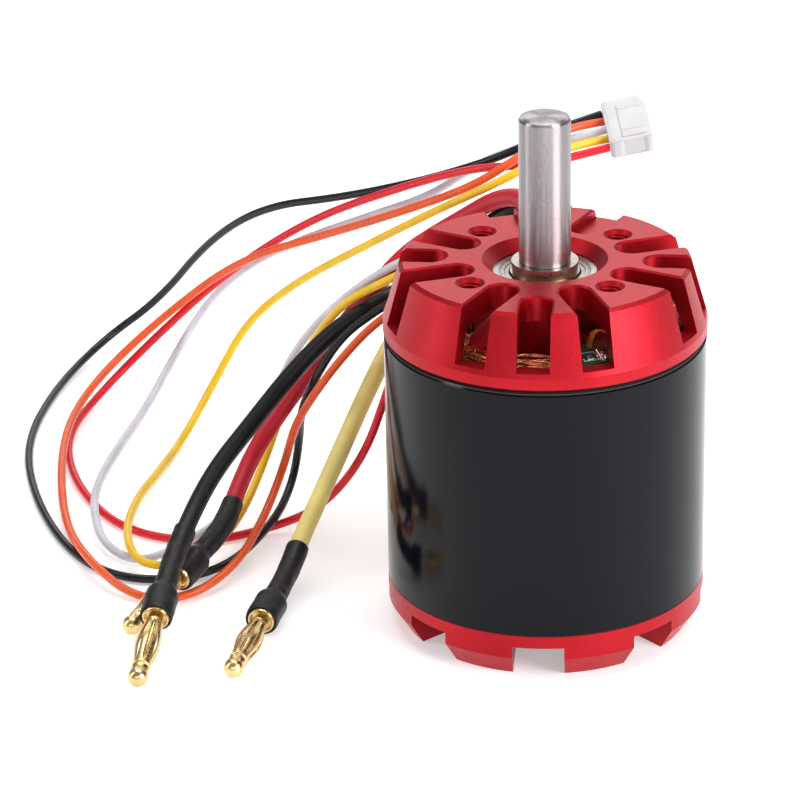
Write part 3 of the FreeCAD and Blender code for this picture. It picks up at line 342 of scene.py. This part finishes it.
FINISHES = {
    "red_anodised": red_anodised,
    "plain_aluminium": lambda: metal("plain_aluminium", (0.70, 0.70, 0.71), 0.32),
    "bearing_steel": lambda: metal("bearing_steel", (0.38, 0.37, 0.37), 0.20, 900),
    "bearing_shield": lambda: metal("bearing_shield", (0.36, 0.34, 0.32), 0.26, 900),
    "lamination_steel": lamination_steel,
    "insulator": lambda: plastic("insulator", (0.70, 0.66, 0.55), 0.45),
    "enamelled_copper": enamelled_copper,
    "tinned_brass": lambda: metal("tinned_brass", (0.75, 0.72, 0.64), 0.26),
    "circuit_board": circuit_board,
    "sensor_black": lambda: plastic("sensor_black", (0.018, 0.018, 0.018), 0.40),
    "lead_black": lambda: silicone("lead_black", (0.006, 0.006, 0.006)),
    "lead_red": lambda: silicone("lead_red", (0.56, 0.012, 0.030)),
    "lead_yellow": lambda: silicone("lead_yellow", (0.92, 0.76, 0.25)),
    "wire_white": lambda: insulation("wire_white", (0.62, 0.62, 0.70)),
    "wire_yellow": lambda: insulation("wire_yellow", (0.88, 0.55, 0.015)),
    "wire_black": lambda: insulation("wire_black", (0.005, 0.006, 0.009)),
    "wire_orange": lambda: insulation("wire_orange", (0.80, 0.10, 0.02)),
    "wire_red": lambda: insulation("wire_red", (0.70, 0.012, 0.025)),
    "white_nylon": nylon,
    "gold_plate": lambda: metal("gold_plate", (0.80, 0.60, 0.28), 0.28, 2200),
    "shrink_sleeve": heat_shrink,
    "black_steel": lambda: metal("black_steel", (0.05, 0.05, 0.05), 0.35),
    "black_can": black_can,
    "magnet_nickel": lambda: metal("magnet_nickel", (0.62, 0.60, 0.56), 0.24),
    "ground_steel": ground_steel,
    "spring_steel": lambda: metal("spring_steel", (0.46, 0.43, 0.39), 0.28, 900),
    "bronze_shim": lambda: metal("bronze_shim", (0.42, 0.29, 0.14), 0.30, 500),
    "tape": lambda: plastic("polyimide_tape", (0.62, 0.28, 0.02), 0.25, 900, 0.00003,
                            Transmission_Weight=0.25),
}
finished = {}


def finish_of(slot):
    """The material of one of the record's slots, made once."""
    if slot not in finished:
        finished[slot] = FINISHES[slot]()
    return finished[slot]


def finish_cad_nodes():
    """Every CAD node takes the finish of its slot, except that the shim is bronze."""
    for entry in frame["record"]["subparts"]:
        for material_slot in nodes[entry["node"]].material_slots:
            material_slot.material = finish_of(entry["material_slot"])
    nodes["shim_ring"].material_slots[0].material = finish_of("bronze_shim")


def break_edges(node, width):
    """Round a CAD node's sharp edges a little, so that they catch the light."""
    bevel = nodes[node].modifiers.new("EdgeBreak", "BEVEL")
    bevel.width = width
    bevel.segments = 2
    bevel.limit_method = "ANGLE"
    bevel.angle_limit = math.radians(35)
    bevel.harden_normals = True


# ---------------------------------------------------------------- mesh building
def add_rings(bm, rings, close_ends=True, loop=False):
    """Join rings of points, each with the same number, into a tube."""
    made = [[bm.verts.new(point) for point in ring] for ring in rings]
    pairs = list(zip(made, made[1:]))
    if loop:
        pairs.append((made[-1], made[0]))
    for first, second in pairs:
        for index in range(len(first)):
            following = (index + 1) % len(first)
            bm.faces.new((first[index], first[following], second[following], second[index]))
    if close_ends and not loop:
        bm.faces.new(list(reversed(made[0])))
        bm.faces.new(made[-1])


def directions_along(points, closed=False):
    """A direction and a steady sideways vector at each point of a path."""
    count = len(points)
    tangents = []
    for index in range(count):
        before = points[index - 1] if index or closed else points[index]
        after = points[(index + 1) % count] if index < count - 1 or closed else points[index]
        tangents.append((after - before).normalized())
    side = tangents[0].orthogonal().normalized()
    sides = [side]
    for before, after in zip(tangents, tangents[1:]):
        side = before.rotation_difference(after) @ side
        sides.append((side - after * side.dot(after)).normalized())
    return tangents, sides


def add_tube(bm, points, radius_at, count=12, closed=False):
    """A tube round a path. radius_at gives the radius for a point's index and an angle."""
    tangents, sides = directions_along(points, closed)
    rings = []
    for index, (point, tangent, side) in enumerate(zip(points, tangents, sides)):
        across = tangent.cross(side)
        ring = []
        for step in range(count):
            angle = TAU * step / count
            reach = side * math.cos(angle) + across * math.sin(angle)
            ring.append(point + reach * radius_at(index, angle))
        rings.append(ring)
    add_rings(bm, rings, loop=closed)


def add_revolved(bm, profile, place=Matrix(), count=48, loop=False):
    """Turn a profile of radius and height in millimetres round the local Z axis."""
    rings = []
    for radius, height in profile:
        ring = []
        for step in range(count):
            angle = TAU * step / count
            ring.append(place @ Vector((radius * math.cos(angle), radius * math.sin(angle), height)))
        rings.append(ring)
    add_rings(bm, rings, close_ends=not loop, loop=loop)


def add_box(bm, low, high):
    corners = [Vector((x, y, z)) for z in (low[2], high[2]) for x, y in
               ((low[0], low[1]), (high[0], low[1]), (high[0], high[1]), (low[0], high[1]))]
    verts = [bm.verts.new(corner) for corner in corners]
    for face in ((3, 2, 1, 0), (4, 5, 6, 7), (0, 1, 5, 4), (1, 2, 6, 5), (2, 3, 7, 6), (3, 0, 4, 7)):
        bm.faces.new([verts[index] for index in face])


def piece_from(bm, name):
    """A plain mesh object of built geometry."""
    mesh = bpy.data.meshes.new(name)
    bm.to_mesh(mesh)
    bm.free()
    piece = bpy.data.objects.new(name, mesh)
    bpy.context.scene.collection.objects.link(piece)
    return piece


def make_piece(name, bm, slot, body, soft_angle=35):
    """Turn built geometry into a named piece with a slot's finish that rides on a body."""
    bmesh.ops.recalc_face_normals(bm, faces=bm.faces)
    limit = math.radians(soft_angle)
    for face in bm.faces:
        face.smooth = True
    for edge in bm.edges:
        edge.smooth = len(edge.link_faces) == 2 and edge.calc_face_angle() < limit
    piece = piece_from(bm, name)
    piece.data.materials.append(finish_of(slot))
    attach(piece, body)
    return piece


# ---------------------------------------------------------------- cords
def cord_curve(name, route, diameter, slot):
    """A round cord on a smooth line that has the route's points as its control points."""
    data = bpy.data.curves.new(name, "CURVE")
    data.dimensions = "3D"
    spline = data.splines.new("NURBS")
    spline.points.add(len(route) - 1)
    for point, place in zip(spline.points, route):
        point.co = (*place, 1)
    spline.order_u = 3
    spline.use_endpoint_u = True
    spline.resolution_u = 10
    data.bevel_depth = diameter / 2
    data.bevel_resolution = 5
    data.use_fill_caps = True
    data.materials.append(finish_of(slot))
    piece = bpy.data.objects.new(name, data)
    bpy.context.scene.collection.objects.link(piece)
    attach(piece, "stator")
    return piece


def centreline(cord):
    """The points along a cord's own smooth line."""
    bare = cord.copy()
    bare.data = cord.data.copy()
    bare.data.bevel_depth = 0
    mesh = bpy.data.meshes.new_from_object(bare)
    points = [vertex.co.copy() for vertex in mesh.vertices]
    bpy.data.meshes.remove(mesh)
    curve = bare.data
    bpy.data.objects.remove(bare)
    bpy.data.curves.remove(curve)
    return points


def line_length(points):
    return sum((after - before).length for before, after in zip(points, points[1:]))


def last_stretch(points, length):
    """The end of a line, cut to a length and split evenly."""
    back = list(reversed(points))
    kept = [back[0]]
    left = length
    for before, after in zip(back, back[1:]):
        step = (after - before).length
        if step >= left:
            kept.append(before.lerp(after, left / step))
            break
        kept.append(after)
        left -= step
    return list(reversed(kept))


def resample(points, spacing):
    """Points at even distances along a line."""
    total = line_length(points)
    count = max(2, round(total / spacing))
    out = [points[0]]
    travelled, index, goal = 0.0, 0, total / count
    position = points[0]
    while len(out) < count:
        step = (points[index + 1] - position).length
        if travelled + step >= goal * len(out):
            share = (goal * len(out) - travelled) / step
            position = position.lerp(points[index + 1], share)
            travelled = goal * len(out)
            out.append(position)
        else:
            travelled += step
            index += 1
            position = points[index]
    out.append(points[-1])
    return out


# ---------------------------------------------------------------- bullet plugs and their sleeves
CUP_LENGTH = 6.0 * MM
SLEEVE_LENGTHS = {"black": 14.9 * MM, "red": 14.6 * MM, "yellow": 14.3 * MM}


def bullet_place(route):
    """The cup's back is at the end of the lead's route, and the plug points along its last run."""
    end = Vector(route[-1])
    along = (end - Vector(route[-2])).normalized()
    turn = UP.rotation_difference(along).to_matrix().to_4x4()
    return Matrix.Translation(end) @ turn @ Matrix.Scale(MM, 4)


def make_bullet(colour, place):
    """Solder cup, turned pin with a rounded nose, and a cage of bowed spring leaves."""
    bm = bmesh.new()
    mouth = 6.0
    pin = [(0.001, 0), (2.0, 0), (2.2, 0.2), (2.2, mouth - 0.25), (2.05, mouth), (1.85, mouth),
           (1.75, mouth - 0.15), (1.75, mouth - 0.9), (1.18, mouth - 0.95), (1.12, mouth + 0.2),
           (1.12, mouth + 0.9), (1.5, mouth + 0.95), (1.55, mouth + 1.1), (1.5, mouth + 1.3),
           (1.0, mouth + 1.35), (0.78, mouth + 2.2), (0.78, mouth + 10.0), (1.0, mouth + 11.0),
           (1.45, mouth + 11.05), (1.5, mouth + 11.2), (1.45, mouth + 11.35), (1.3, mouth + 11.45),
           (1.3, mouth + 11.6), (1.46, mouth + 11.8)]
    nose_centre = mouth + 13.55
    for step in range(9):
        angle = math.radians(-28 + 14 * step)
        pin.append((1.55 * math.cos(angle), nose_centre + 1.55 * math.sin(angle)))
    pin.append((0.25, mouth + 15.10))
    pin.append((0.001, mouth + 15.10))
    add_revolved(bm, pin, place, 56)
    body = make_piece("plug_pin_" + colour, bm, "gold_plate", "stator", 40)
    bm = bmesh.new()
    leaves, half_gap = 8, 0.30
    low, high = mouth + 1.2, mouth + 11.1
    thickness = 0.20
    rows, columns = 22, 4
    for leaf in range(leaves):
        centre = TAU * leaf / leaves
        rings = []
        for row in range(rows + 1):
            share = row / rows
            height = low + (high - low) * share
            radius = 1.46 + 0.54 * math.sin(math.pi * min(max((share - 0.08) / 0.84, 0), 1)) ** 1.3
            gap = half_gap * min(1, 7 * min(share, 1 - share) + 0.02)
            half = math.pi / leaves - gap / radius
            outer, inner = [], []
            for column in range(columns + 1):
                angle = centre + half * (2 * column / columns - 1)
                outer.append(place @ Vector((radius * math.cos(angle), radius * math.sin(angle), height)))
                reach = radius - thickness
                inner.append(place @ Vector((reach * math.cos(angle), reach * math.sin(angle), height)))
            rings.append(outer + inner[::-1])
        add_rings(bm, rings)
    cage = make_piece("plug_cage_" + colour, bm, "gold_plate", "stator", 40)
    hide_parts("bullet_" + colour)
    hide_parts("spring_" + colour)
    return [body, cage]


def make_sleeve(colour, line, place, seed):
    """Heat-shrink tube: tight and a little lumpy on the lead, wider with a crease over the cup."""
    path = resample(last_stretch(line, SLEEVE_LENGTHS[colour]), 0.35 * MM)
    axis = (place.to_3x3() @ UP).normalized()
    back = len(path) - 1
    steps = 22
    cover = CUP_LENGTH - 0.35 * MM
    for step in range(1, steps + 1):
        path.append(path[back] + axis * cover * step / steps)
    distances = [0.0]
    for before, after in zip(path, path[1:]):
        distances.append(distances[-1] + (after - before).length)
    cup_start = distances[back]
    offset = Vector((seed * 3.7, seed * 1.3, 0))

    def outside(index, angle):
        along = distances[index] / MM
        before_cup = (cup_start - distances[index]) / MM
        share = min(max((1.5 - before_cup) / 2.1, 0), 1)
        widen = share * share * (3 - 2 * share)
        radius = 1.80 + 0.86 * widen
        spot = Vector((math.cos(angle), math.sin(angle), along * 0.35))
        radius += 0.10 * noise.noise(spot * 1.1 + offset) + 0.04 * noise.noise(spot * 3.4 + offset)
        radius -= 0.12 * math.exp(-((before_cup - 1.7) / 0.35) ** 2)
        radius -= 0.08 * math.exp(-((distances[-1] - distances[index]) / MM / 0.3) ** 2)
        radius -= 0.06 * math.exp(-(along / 0.25) ** 2)
        return radius * MM

    bm = bmesh.new()
    tangents, sides = directions_along(path)
    rings = []

    def ring_at(index, radius_of):
        across = tangents[index].cross(sides[index])
        ring = []
        for step in range(40):
            angle = TAU * step / 40
            reach = sides[index] * math.cos(angle) + across * math.sin(angle)
            ring.append(path[index] + reach * radius_of(angle))
        return ring

    rings.append(ring_at(0, lambda angle: 1.52 * MM))
    for index in range(len(path)):
        rings.append(ring_at(index, lambda angle, index=index: outside(index, angle)))
    wall = 0.30 * MM
    last = len(path) - 1
    rings.append(ring_at(last, lambda angle: outside(last, angle) - wall * 0.9))
    for index in (last - 3, last - 6):
        rings.append(ring_at(index, lambda angle: 2.24 * MM))
    add_rings(bm, rings, close_ends=False)
    sleeve = make_piece("shrink_sleeve_" + colour, bm, "shrink_sleeve", "stator", 50)
    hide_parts("sleeve_" + colour)
    return sleeve


def make_leads():
    """Three phase leads, each with its plug and its heat-shrink sleeve."""
    for seed, (label, route) in enumerate(LEADS.items()):
        colour = label.split("_")[1]
        cord = cord_curve("phase_" + label, route, LEAD_DIAMETER, label)
        line = centreline(cord)
        place = bullet_place(route)
        pieces = make_bullet(colour, place) + [make_sleeve(colour, line, place, seed)]
        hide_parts(label)


def make_wires(plug):
    """Five sensor wires that all end in the same plug."""
    for label, route in WIRES.items():
        cord = cord_curve("sensor_" + label, route, WIRE_DIAMETER, label)
        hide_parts(label)
        line_length(centreline(cord))


# ---------------------------------------------------------------- sensor connector
HOUSING_CENTRE = Vector((0.01015, 0.05110, 0.06208))
HOUSING_ROW = Vector((-0.153, 0.897, 0.417))
HOUSING_MATING = Vector((0.980, 0.084, 0.172))


def housing_place():
    """Local X runs along the row of pins and local Z along the mating direction, in millimetres."""
    row = HOUSING_ROW.normalized()
    mating = (HOUSING_MATING - row * HOUSING_MATING.dot(row)).normalized()
    turn = Matrix((row, mating.cross(row), mating)).transposed().to_4x4()
    return Matrix.Translation(HOUSING_CENTRE) @ turn @ Matrix.Scale(MM, 4)


def cut_with(piece, cutter):
    """Subtract one mesh object from another for good."""
    change = piece.modifiers.new("Cut", "BOOLEAN")
    change.operation = "DIFFERENCE"
    change.solver = "EXACT"
    change.object = cutter
    bpy.context.view_layer.update()
    result = bpy.data.meshes.new_from_object(piece.evaluated_get(bpy.context.evaluated_depsgraph_get()))
    piece.modifiers.remove(change)
    old = piece.data
    piece.data = result
    bpy.data.meshes.remove(old)
    mesh = cutter.data
    bpy.data.objects.remove(cutter)
    bpy.data.meshes.remove(mesh)


def make_housing():
    """Moulded five-way housing with end lugs, a raised panel and a cavity for each terminal."""
    place = housing_place()
    outline = [(4.8, 0.0), (4.9, 6.1), (4.3, 6.5), (2.7, 7.2), (-4.75, 7.2), (-4.9, 6.9), (-4.9, 6.1),
               (-4.72, 5.9), (-4.72, 2.2), (-4.95, 1.9), (-4.95, 0.6), (-4.6, 0.0)]
    half = 1.9
    bm = bmesh.new()
    front = [bm.verts.new((x, half, z)) for x, z in outline]
    rear = [bm.verts.new((x, -half, z)) for x, z in outline]
    bm.faces.new(front)
    bm.faces.new(rear[::-1])
    for index in range(len(outline)):
        following = (index + 1) % len(outline)
        bm.faces.new((front[following], front[index], rear[index], rear[following]))
    bmesh.ops.bevel(bm, geom=list(bm.edges), offset=0.12, segments=2, affect="EDGES")
    housing = make_piece("sensor_connector", bm, "white_nylon", "stator", 30)
    bm = bmesh.new()
    pitch = 2.0
    for index in range(5):
        centre = (index - 2) * pitch
        add_box(bm, (centre - 0.50, -0.50, -1), (centre + 0.50, 0.50, 9))
        add_box(bm, (centre - 0.4, -half - 1, 2.6), (centre + 0.4, -0.2, 4.6))
    cut_with(housing, piece_from(bm, "Cutter"))
    bm = bmesh.new()
    add_box(bm, (-4.2, half - 0.1, 2.3), (3.4, half + 0.14, 6.4))
    bmesh.ops.bevel(bm, geom=list(bm.edges), offset=0.08, segments=2, affect="EDGES")
    add_box(bm, (-4.4, half - 0.1, 0.5), (4.4, half + 0.10, 1.1))
    for side in (-1, 1):
        add_box(bm, (side * 2.4 - 0.25, half, 2.6), (side * 2.4 + 0.25, half + 0.2, 6.0))
    panel = make_piece("sensor_connector_panel", bm, "white_nylon", "stator", 30)
    for piece in (housing, panel):
        piece.data.transform(place)
        for polygon in piece.data.polygons:
            polygon.use_smooth = False
        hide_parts("connector_housing")
    return [housing, panel, nodes["connector_terminals"]]


# ---------------------------------------------------------------- windings
WIRE_GAUGE = 0.40 * MM
COIL_PHASES = {"a": (0, 1, 6, 7), "b": (2, 3, 8, 9), "c": (4, 5, 10, 11)}


def tooth_angle(index):
    return TAU * (index + 0.5) / TEETH


def turn_of_wire(draw, radius, half_width, rise, lean):
    """One turn round a tooth that points along +X: straight in the slots, arched over both ends."""
    points = []
    for end, middle in ((1, CORE_HIGH + 0.9 * MM), (-1, CORE_LOW - 0.9 * MM)):
        for step in range(9):
            angle = math.pi * step / 8
            across = end * half_width * math.copysign(abs(math.cos(angle)) ** 0.7, math.cos(angle))
            lift = rise * math.sin(angle) ** 0.8
            wander = draw.uniform(-0.08, 0.08) * MM
            outward = radius + lean * math.sin(angle) + wander
            points.append(Vector((outward, across + wander, middle + end * lift)))
    return points


def make_windings():
    """Each tooth's coil is wound from separate turns in three uneven layers."""
    draw = random.Random(7)
    for phase, teeth in COIL_PHASES.items():
        bm = bmesh.new()
        for tooth in teeth:
            turn = Matrix.Rotation(tooth_angle(tooth), 4, "Z")
            for layer in range(3):
                count = 11 - layer
                for index in range(count):
                    share = (index + 0.5) / count
                    radius = (13.7 + 4.4 * share) * MM
                    limit = (2.95 + 1.0 * share) * MM
                    half_width = min((2.65 + 0.45 * layer) * MM, limit)
                    rise = (1.1 + 0.70 * layer + draw.uniform(-0.2, 0.5)) * MM
                    lean = draw.uniform(-0.35, 0.35) * MM
                    points = [turn @ point for point in turn_of_wire(draw, radius, half_width, rise, lean)]
                    add_tube(bm, points, lambda place, angle: WIRE_GAUGE / 2, 6, closed=True)
        coils = make_piece("winding_phase_" + phase, bm, "enamelled_copper", "stator", 60)
        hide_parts("coils_phase_" + phase)


def make_crossing_wires():
    """Loose enamelled wires that run round the inside of the end turns from coil to coil."""
    draw = random.Random(21)
    bm = bmesh.new()
    bundles = ((196, 250, 16.0, 49.4, 16), (244, 290, 16.6, 49.5, 22), (20, 118, 14.6, 49.0, 7),
               (118, 198, 14.8, 49.1, 7))
    for first, last, radius, height, strands in bundles:
        for _ in range(strands):
            reach = radius + draw.uniform(-2.2, 1.8)
            level = height + draw.uniform(-0.9, 0.7)
            phase = draw.uniform(0, TAU)
            points = []
            steps = max(8, int((last - first) / 5))
            for step in range(steps + 1):
                share = step / steps
                angle = math.radians(first + (last - first) * share)
                away = reach + 0.5 * math.sin(phase + 5 * share)
                ends = 1.6 * (2 * share - 1) ** 6
                points.append(Vector((away * math.cos(angle), away * math.sin(angle),
                                      level - ends + 0.35 * math.sin(phase * 2 + 7 * share))) * MM)
            add_tube(bm, points, lambda place, angle: WIRE_GAUGE / 2, 6)
    make_piece("crossing_wires", bm, "enamelled_copper", "stator", 60)


# ---------------------------------------------------------------- front end details
def make_threads():
    """A helical thread in each of the four tapped holes."""
    bm = bmesh.new()
    pitch, turns = 0.7, 5
    steps = 24
    bottom = TOP_FACE / MM - 4.1
    hole_circle, hole_radius = 15.0, 1.70
    for index in range(4):
        angle = MOUNT_TURN + math.radians(45 + 90 * index)
        centre = Vector((hole_circle * math.cos(angle), hole_circle * math.sin(angle), bottom))
        rings = []
        for step in range(steps * turns + 1):
            around = TAU * step / steps
            fade = min(1, step / steps, (steps * turns - step) / steps + 0.05)
            level = pitch * step / steps
            reach = Vector((math.cos(around), math.sin(around), 0))
            crest = 1.64 - 0.22 * fade
            rings.append([(centre + reach * hole_radius + UP * (level - 0.30)) * MM,
                          (centre + reach * crest + UP * (level - 0.05)) * MM,
                          (centre + reach * crest + UP * (level + 0.05)) * MM,
                          (centre + reach * hole_radius + UP * (level + 0.30)) * MM])
        add_rings(bm, rings)
    make_piece("mount_threads", bm, "red_anodised", "stator", 30)


def make_shields(end):
    """Pressed bearing shields with a stepped, rolled rim."""
    low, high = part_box(end + "_bearing_outer")[0].z / MM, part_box(end + "_bearing_outer")[1].z / MM
    bm = bmesh.new()
    profile = [(5.50, -0.42), (5.62, -0.28), (6.20, -0.28), (6.30, -0.14), (6.72, -0.14), (6.80, -0.05),
               (7.00, -0.05), (7.08, -0.16), (7.08, -0.45), (6.55, -0.48), (5.60, -0.55), (5.50, -0.50)]
    upper = [(radius, high + depth) for radius, depth in profile]
    lower = [(radius, low - depth) for radius, depth in profile]
    add_revolved(bm, upper, Matrix.Scale(MM, 4), 72, loop=True)
    add_revolved(bm, lower, Matrix.Scale(MM, 4), 72, loop=True)
    shields = make_piece(end + "_stepped_shields", bm, "bearing_shield", "stator", 25)
    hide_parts(end + "_bearing_shields")


def flat_marks(bm, centre, direction, pieces, level):
    """Raised bars on the board, given as middle, half-length, half-width and height in millimetres."""
    across = Vector((-direction.y, direction.x, 0))
    for along_mid, across_mid, half_along, half_across, height in pieces:
        middle = centre + direction * along_mid + across * across_mid
        corners = []
        for low_along, low_across in ((-1, -1), (1, -1), (1, 1), (-1, 1)):
            corners.append(middle + direction * half_along * low_along + across * half_across * low_across)
        rings = [[(corner + UP * level) * MM for corner in corners],
                 [(corner + UP * (level + height)) * MM for corner in corners]]
        add_rings(bm, rings)


def make_board_details():
    """Printed outlines, pads, small parts and solder on the sensor board."""
    level = BOARD_TOP / MM
    silk, pads, chips = bmesh.new(), bmesh.new(), bmesh.new()
    for angle in (-70, -35, 4, 60, 112):
        out = Vector((math.cos(math.radians(angle)), math.sin(math.radians(angle)), 0))
        centre = out * 19.3
        silk_bars = []
        for side in (-1, 1):
            silk_bars.append((1.5 * side, 0, 0.09, 1.25, 0.03))
            for end in (-1, 1):
                silk_bars.append((1.1 * side, 1.17 * end, 0.40, 0.09, 0.03))
        flat_marks(silk, centre, out, silk_bars, level)
        flat_marks(pads, centre, out, [(-0.75, 0, 0.30, 0.55, 0.08), (0.75, 0, 0.30, 0.55, 0.08)], level)
        flat_marks(chips, centre, out, [(0, 0, 0.42, 0.50, 0.45)], level)
    make_piece("board_outlines", silk, "white_nylon", "stator")
    make_piece("board_pads", pads, "tinned_brass", "stator")
    make_piece("board_parts", chips, "sensor_black", "stator")
    solder = bmesh.new()
    angles = (-66, -64, -31, -27, 8, 12, 56, 64, 108, 116)
    spots = [(radius, angle) for angle in angles for radius in (19.4, 20.6)]
    spots += [(17.0, 100 + 6 * index) for index in range(5)]
    dome = [(0.42, -0.02), (0.40, 0.10), (0.30, 0.30), (0.16, 0.48), (0.02, 0.55)]
    for radius, angle in spots:
        turn = math.radians(angle)
        centre = Vector((radius * math.cos(turn), radius * math.sin(turn), level))
        add_revolved(solder, dome, Matrix.Scale(MM, 4) @ Matrix.Translation(centre), 14)
    make_piece("board_solder", solder, "tinned_brass", "stator", 60)


def make_tape_and_tube():
    """A curled strip of yellow tape, a sensor's leg and a red tube over the windings' ends."""
    tape = bmesh.new()
    strip = [Vector(point) for point in ((6.6, -15.0, 51.5), (6.8, -15.4, 53.0), (7.3, -15.9, 54.4),
                                         (8.0, -16.3, 55.0), (8.9, -16.3, 54.7), (9.8, -15.9, 53.7))]
    rings = []
    for index, point in enumerate(strip):
        across = Vector((0.55, -0.75, 0.25)).normalized() * (0.75 - 0.04 * index)
        thick = Vector((0.3, 0.2, 0.9)).normalized() * 0.06
        rings.append([(point + across + thick) * MM, (point - across + thick) * MM,
                      (point - across - thick) * MM, (point + across - thick) * MM])
    add_rings(tape, rings)
    make_piece("insulating_tape", tape, "tape", "stator", 60)
    legs = bmesh.new()
    path = [Vector(point) * MM for point in ((7.6, -18.9, 52.9), (8.1, -19.1, 52.2), (8.7, -19.3, 51.4))]
    add_tube(legs, path, lambda index, angle: 0.20 * MM, 8)
    make_piece("sensor_legs", legs, "tinned_brass", "stator", 60)
    tube = bmesh.new()
    start, end = Vector((-6.6, -12.4, 55.4)), Vector((-10.4, -10.8, 50.6))
    path = [start.lerp(end, step / 8) * MM for step in range(9)]
    add_tube(tube, path, lambda index, angle: (1.45 + 0.05 * math.sin(3 * angle + index)) * MM, 28)
    make_piece("splice_tube", tube, "lead_red", "stator", 60)
    draw = random.Random(5)
    strands = bmesh.new()
    along = (end - start).normalized()
    for _ in range(16):
        side = Vector((draw.uniform(-0.9, 0.9), draw.uniform(-0.9, 0.9), draw.uniform(-0.5, 0.5)))
        spread = Vector((draw.uniform(-2.6, 0.6), draw.uniform(-2.6, 1.0), 0))
        path = []
        for step in range(8):
            share = step / 7
            bend = Vector((draw.uniform(-0.15, 0.15), draw.uniform(-0.15, 0.15), 0))
            path.append((end + side * 0.8 + along * (4.2 * share - 0.6) + spread * share ** 2 + bend) * MM)
        add_tube(strands, path, lambda index, angle: 0.15 * MM, 6)
    make_piece("splice_strands", strands, "enamelled_copper", "stator", 60)


# ---------------------------------------------------------------- camera, floor and light
def make_camera():
    """The camera stands 0.6 m away and looks down at the motor from its front."""
    focal_length, distance = 173.2, 0.60098
    tilt, turn, roll = 0.4212, -0.0377, -0.0022
    target_height = 0.0362
    ahead = Vector((0, math.cos(tilt), -math.sin(tilt)))
    above = Vector((0, math.sin(tilt), math.cos(tilt)))
    right = Vector((1, 0, 0))
    look = ahead * math.cos(turn) + right * math.sin(turn)
    side = right * math.cos(turn) - ahead * math.sin(turn)
    across = side * math.cos(roll) + above * math.sin(roll)
    over = above * math.cos(roll) - side * math.sin(roll)
    data = bpy.data.cameras.new("Camera")
    data.lens = focal_length
    data.sensor_width = 36
    data.clip_start, data.clip_end = 0.01, 20
    camera = bpy.data.objects.new("Camera", data)
    place = Vector((0, -distance * math.cos(tilt), target_height + distance * math.sin(tilt)))
    turn_matrix = Matrix((across, over, -look)).transposed().to_4x4()
    camera.matrix_world = Matrix.Translation(place) @ turn_matrix
    bpy.context.scene.collection.objects.link(camera)
    bpy.context.scene.camera = camera


def make_floor():
    """Pale paper just under the motor's foot, lit a little so that it stays white."""
    mesh = bpy.data.meshes.new("Floor")
    reach = 3.0
    corners = [(-reach, -reach, 0), (reach, -reach, 0), (reach, reach, 0), (-reach, reach, 0)]
    mesh.from_pydata(corners, [], [(0, 1, 2, 3)])
    floor = bpy.data.objects.new("Floor", mesh)
    floor.location.z = -0.00002
    bpy.context.scene.collection.objects.link(floor)
    paper = Shader("floor_paper", (0.90, 0.90, 0.91), 0.7,
                   Emission_Color=(1, 1, 1, 1), Emission_Strength=0.34)
    mesh.materials.append(paper.material)


def make_light(name, place, target, width, height, power):
    data = bpy.data.lights.new(name, "AREA")
    data.shape = "RECTANGLE"
    data.size, data.size_y = width, height
    data.energy = power
    light = bpy.data.objects.new(name, data)
    light.location = place
    light.rotation_mode = "QUATERNION"
    light.rotation_quaternion = (Vector(target) - Vector(place)).to_track_quat("-Z", "Y")
    bpy.context.scene.collection.objects.link(light)


def make_lights():
    """Soft boxes round the motor in a pale studio."""
    scene = bpy.context.scene
    scene.view_settings.view_transform = "Standard"
    world = bpy.data.worlds.new("Studio")
    world.use_nodes = True
    background = world.node_tree.nodes["Background"]
    background.inputs["Color"].default_value = (1, 1, 1, 1)
    background.inputs["Strength"].default_value = 0.25
    scene.world = world
    centre = (0, 0, 0.03)
    make_light("TopSoftbox", (0.05, 0.25, 0.95), centre, 0.9, 0.6, 6.0)
    make_light("BackSoftbox", (0.10, 0.95, 0.50), centre, 1.3, 0.45, 3.0)
    make_light("FrontSoftbox", (-0.05, -1.20, 0.50), centre, 1.3, 0.40, 3.4)
    make_light("LeftSoftbox", (-0.85, -0.10, 0.45), centre, 0.20, 0.9, 3.0)
    make_light("RightSoftbox", (0.68, -0.50, 0.38), centre, 0.45, 0.5, 9.0)


make_camera()
make_floor()
make_lights()
finish_cad_nodes()
break_edges("front_mount", 0.18 * MM)
break_edges("rear_bell", 0.15 * MM)
make_leads()
make_wires(make_housing())
make_windings()
make_crossing_wires()
make_threads()
make_shields("front")
make_shields("rear")
make_board_details()
make_tape_and_tube()
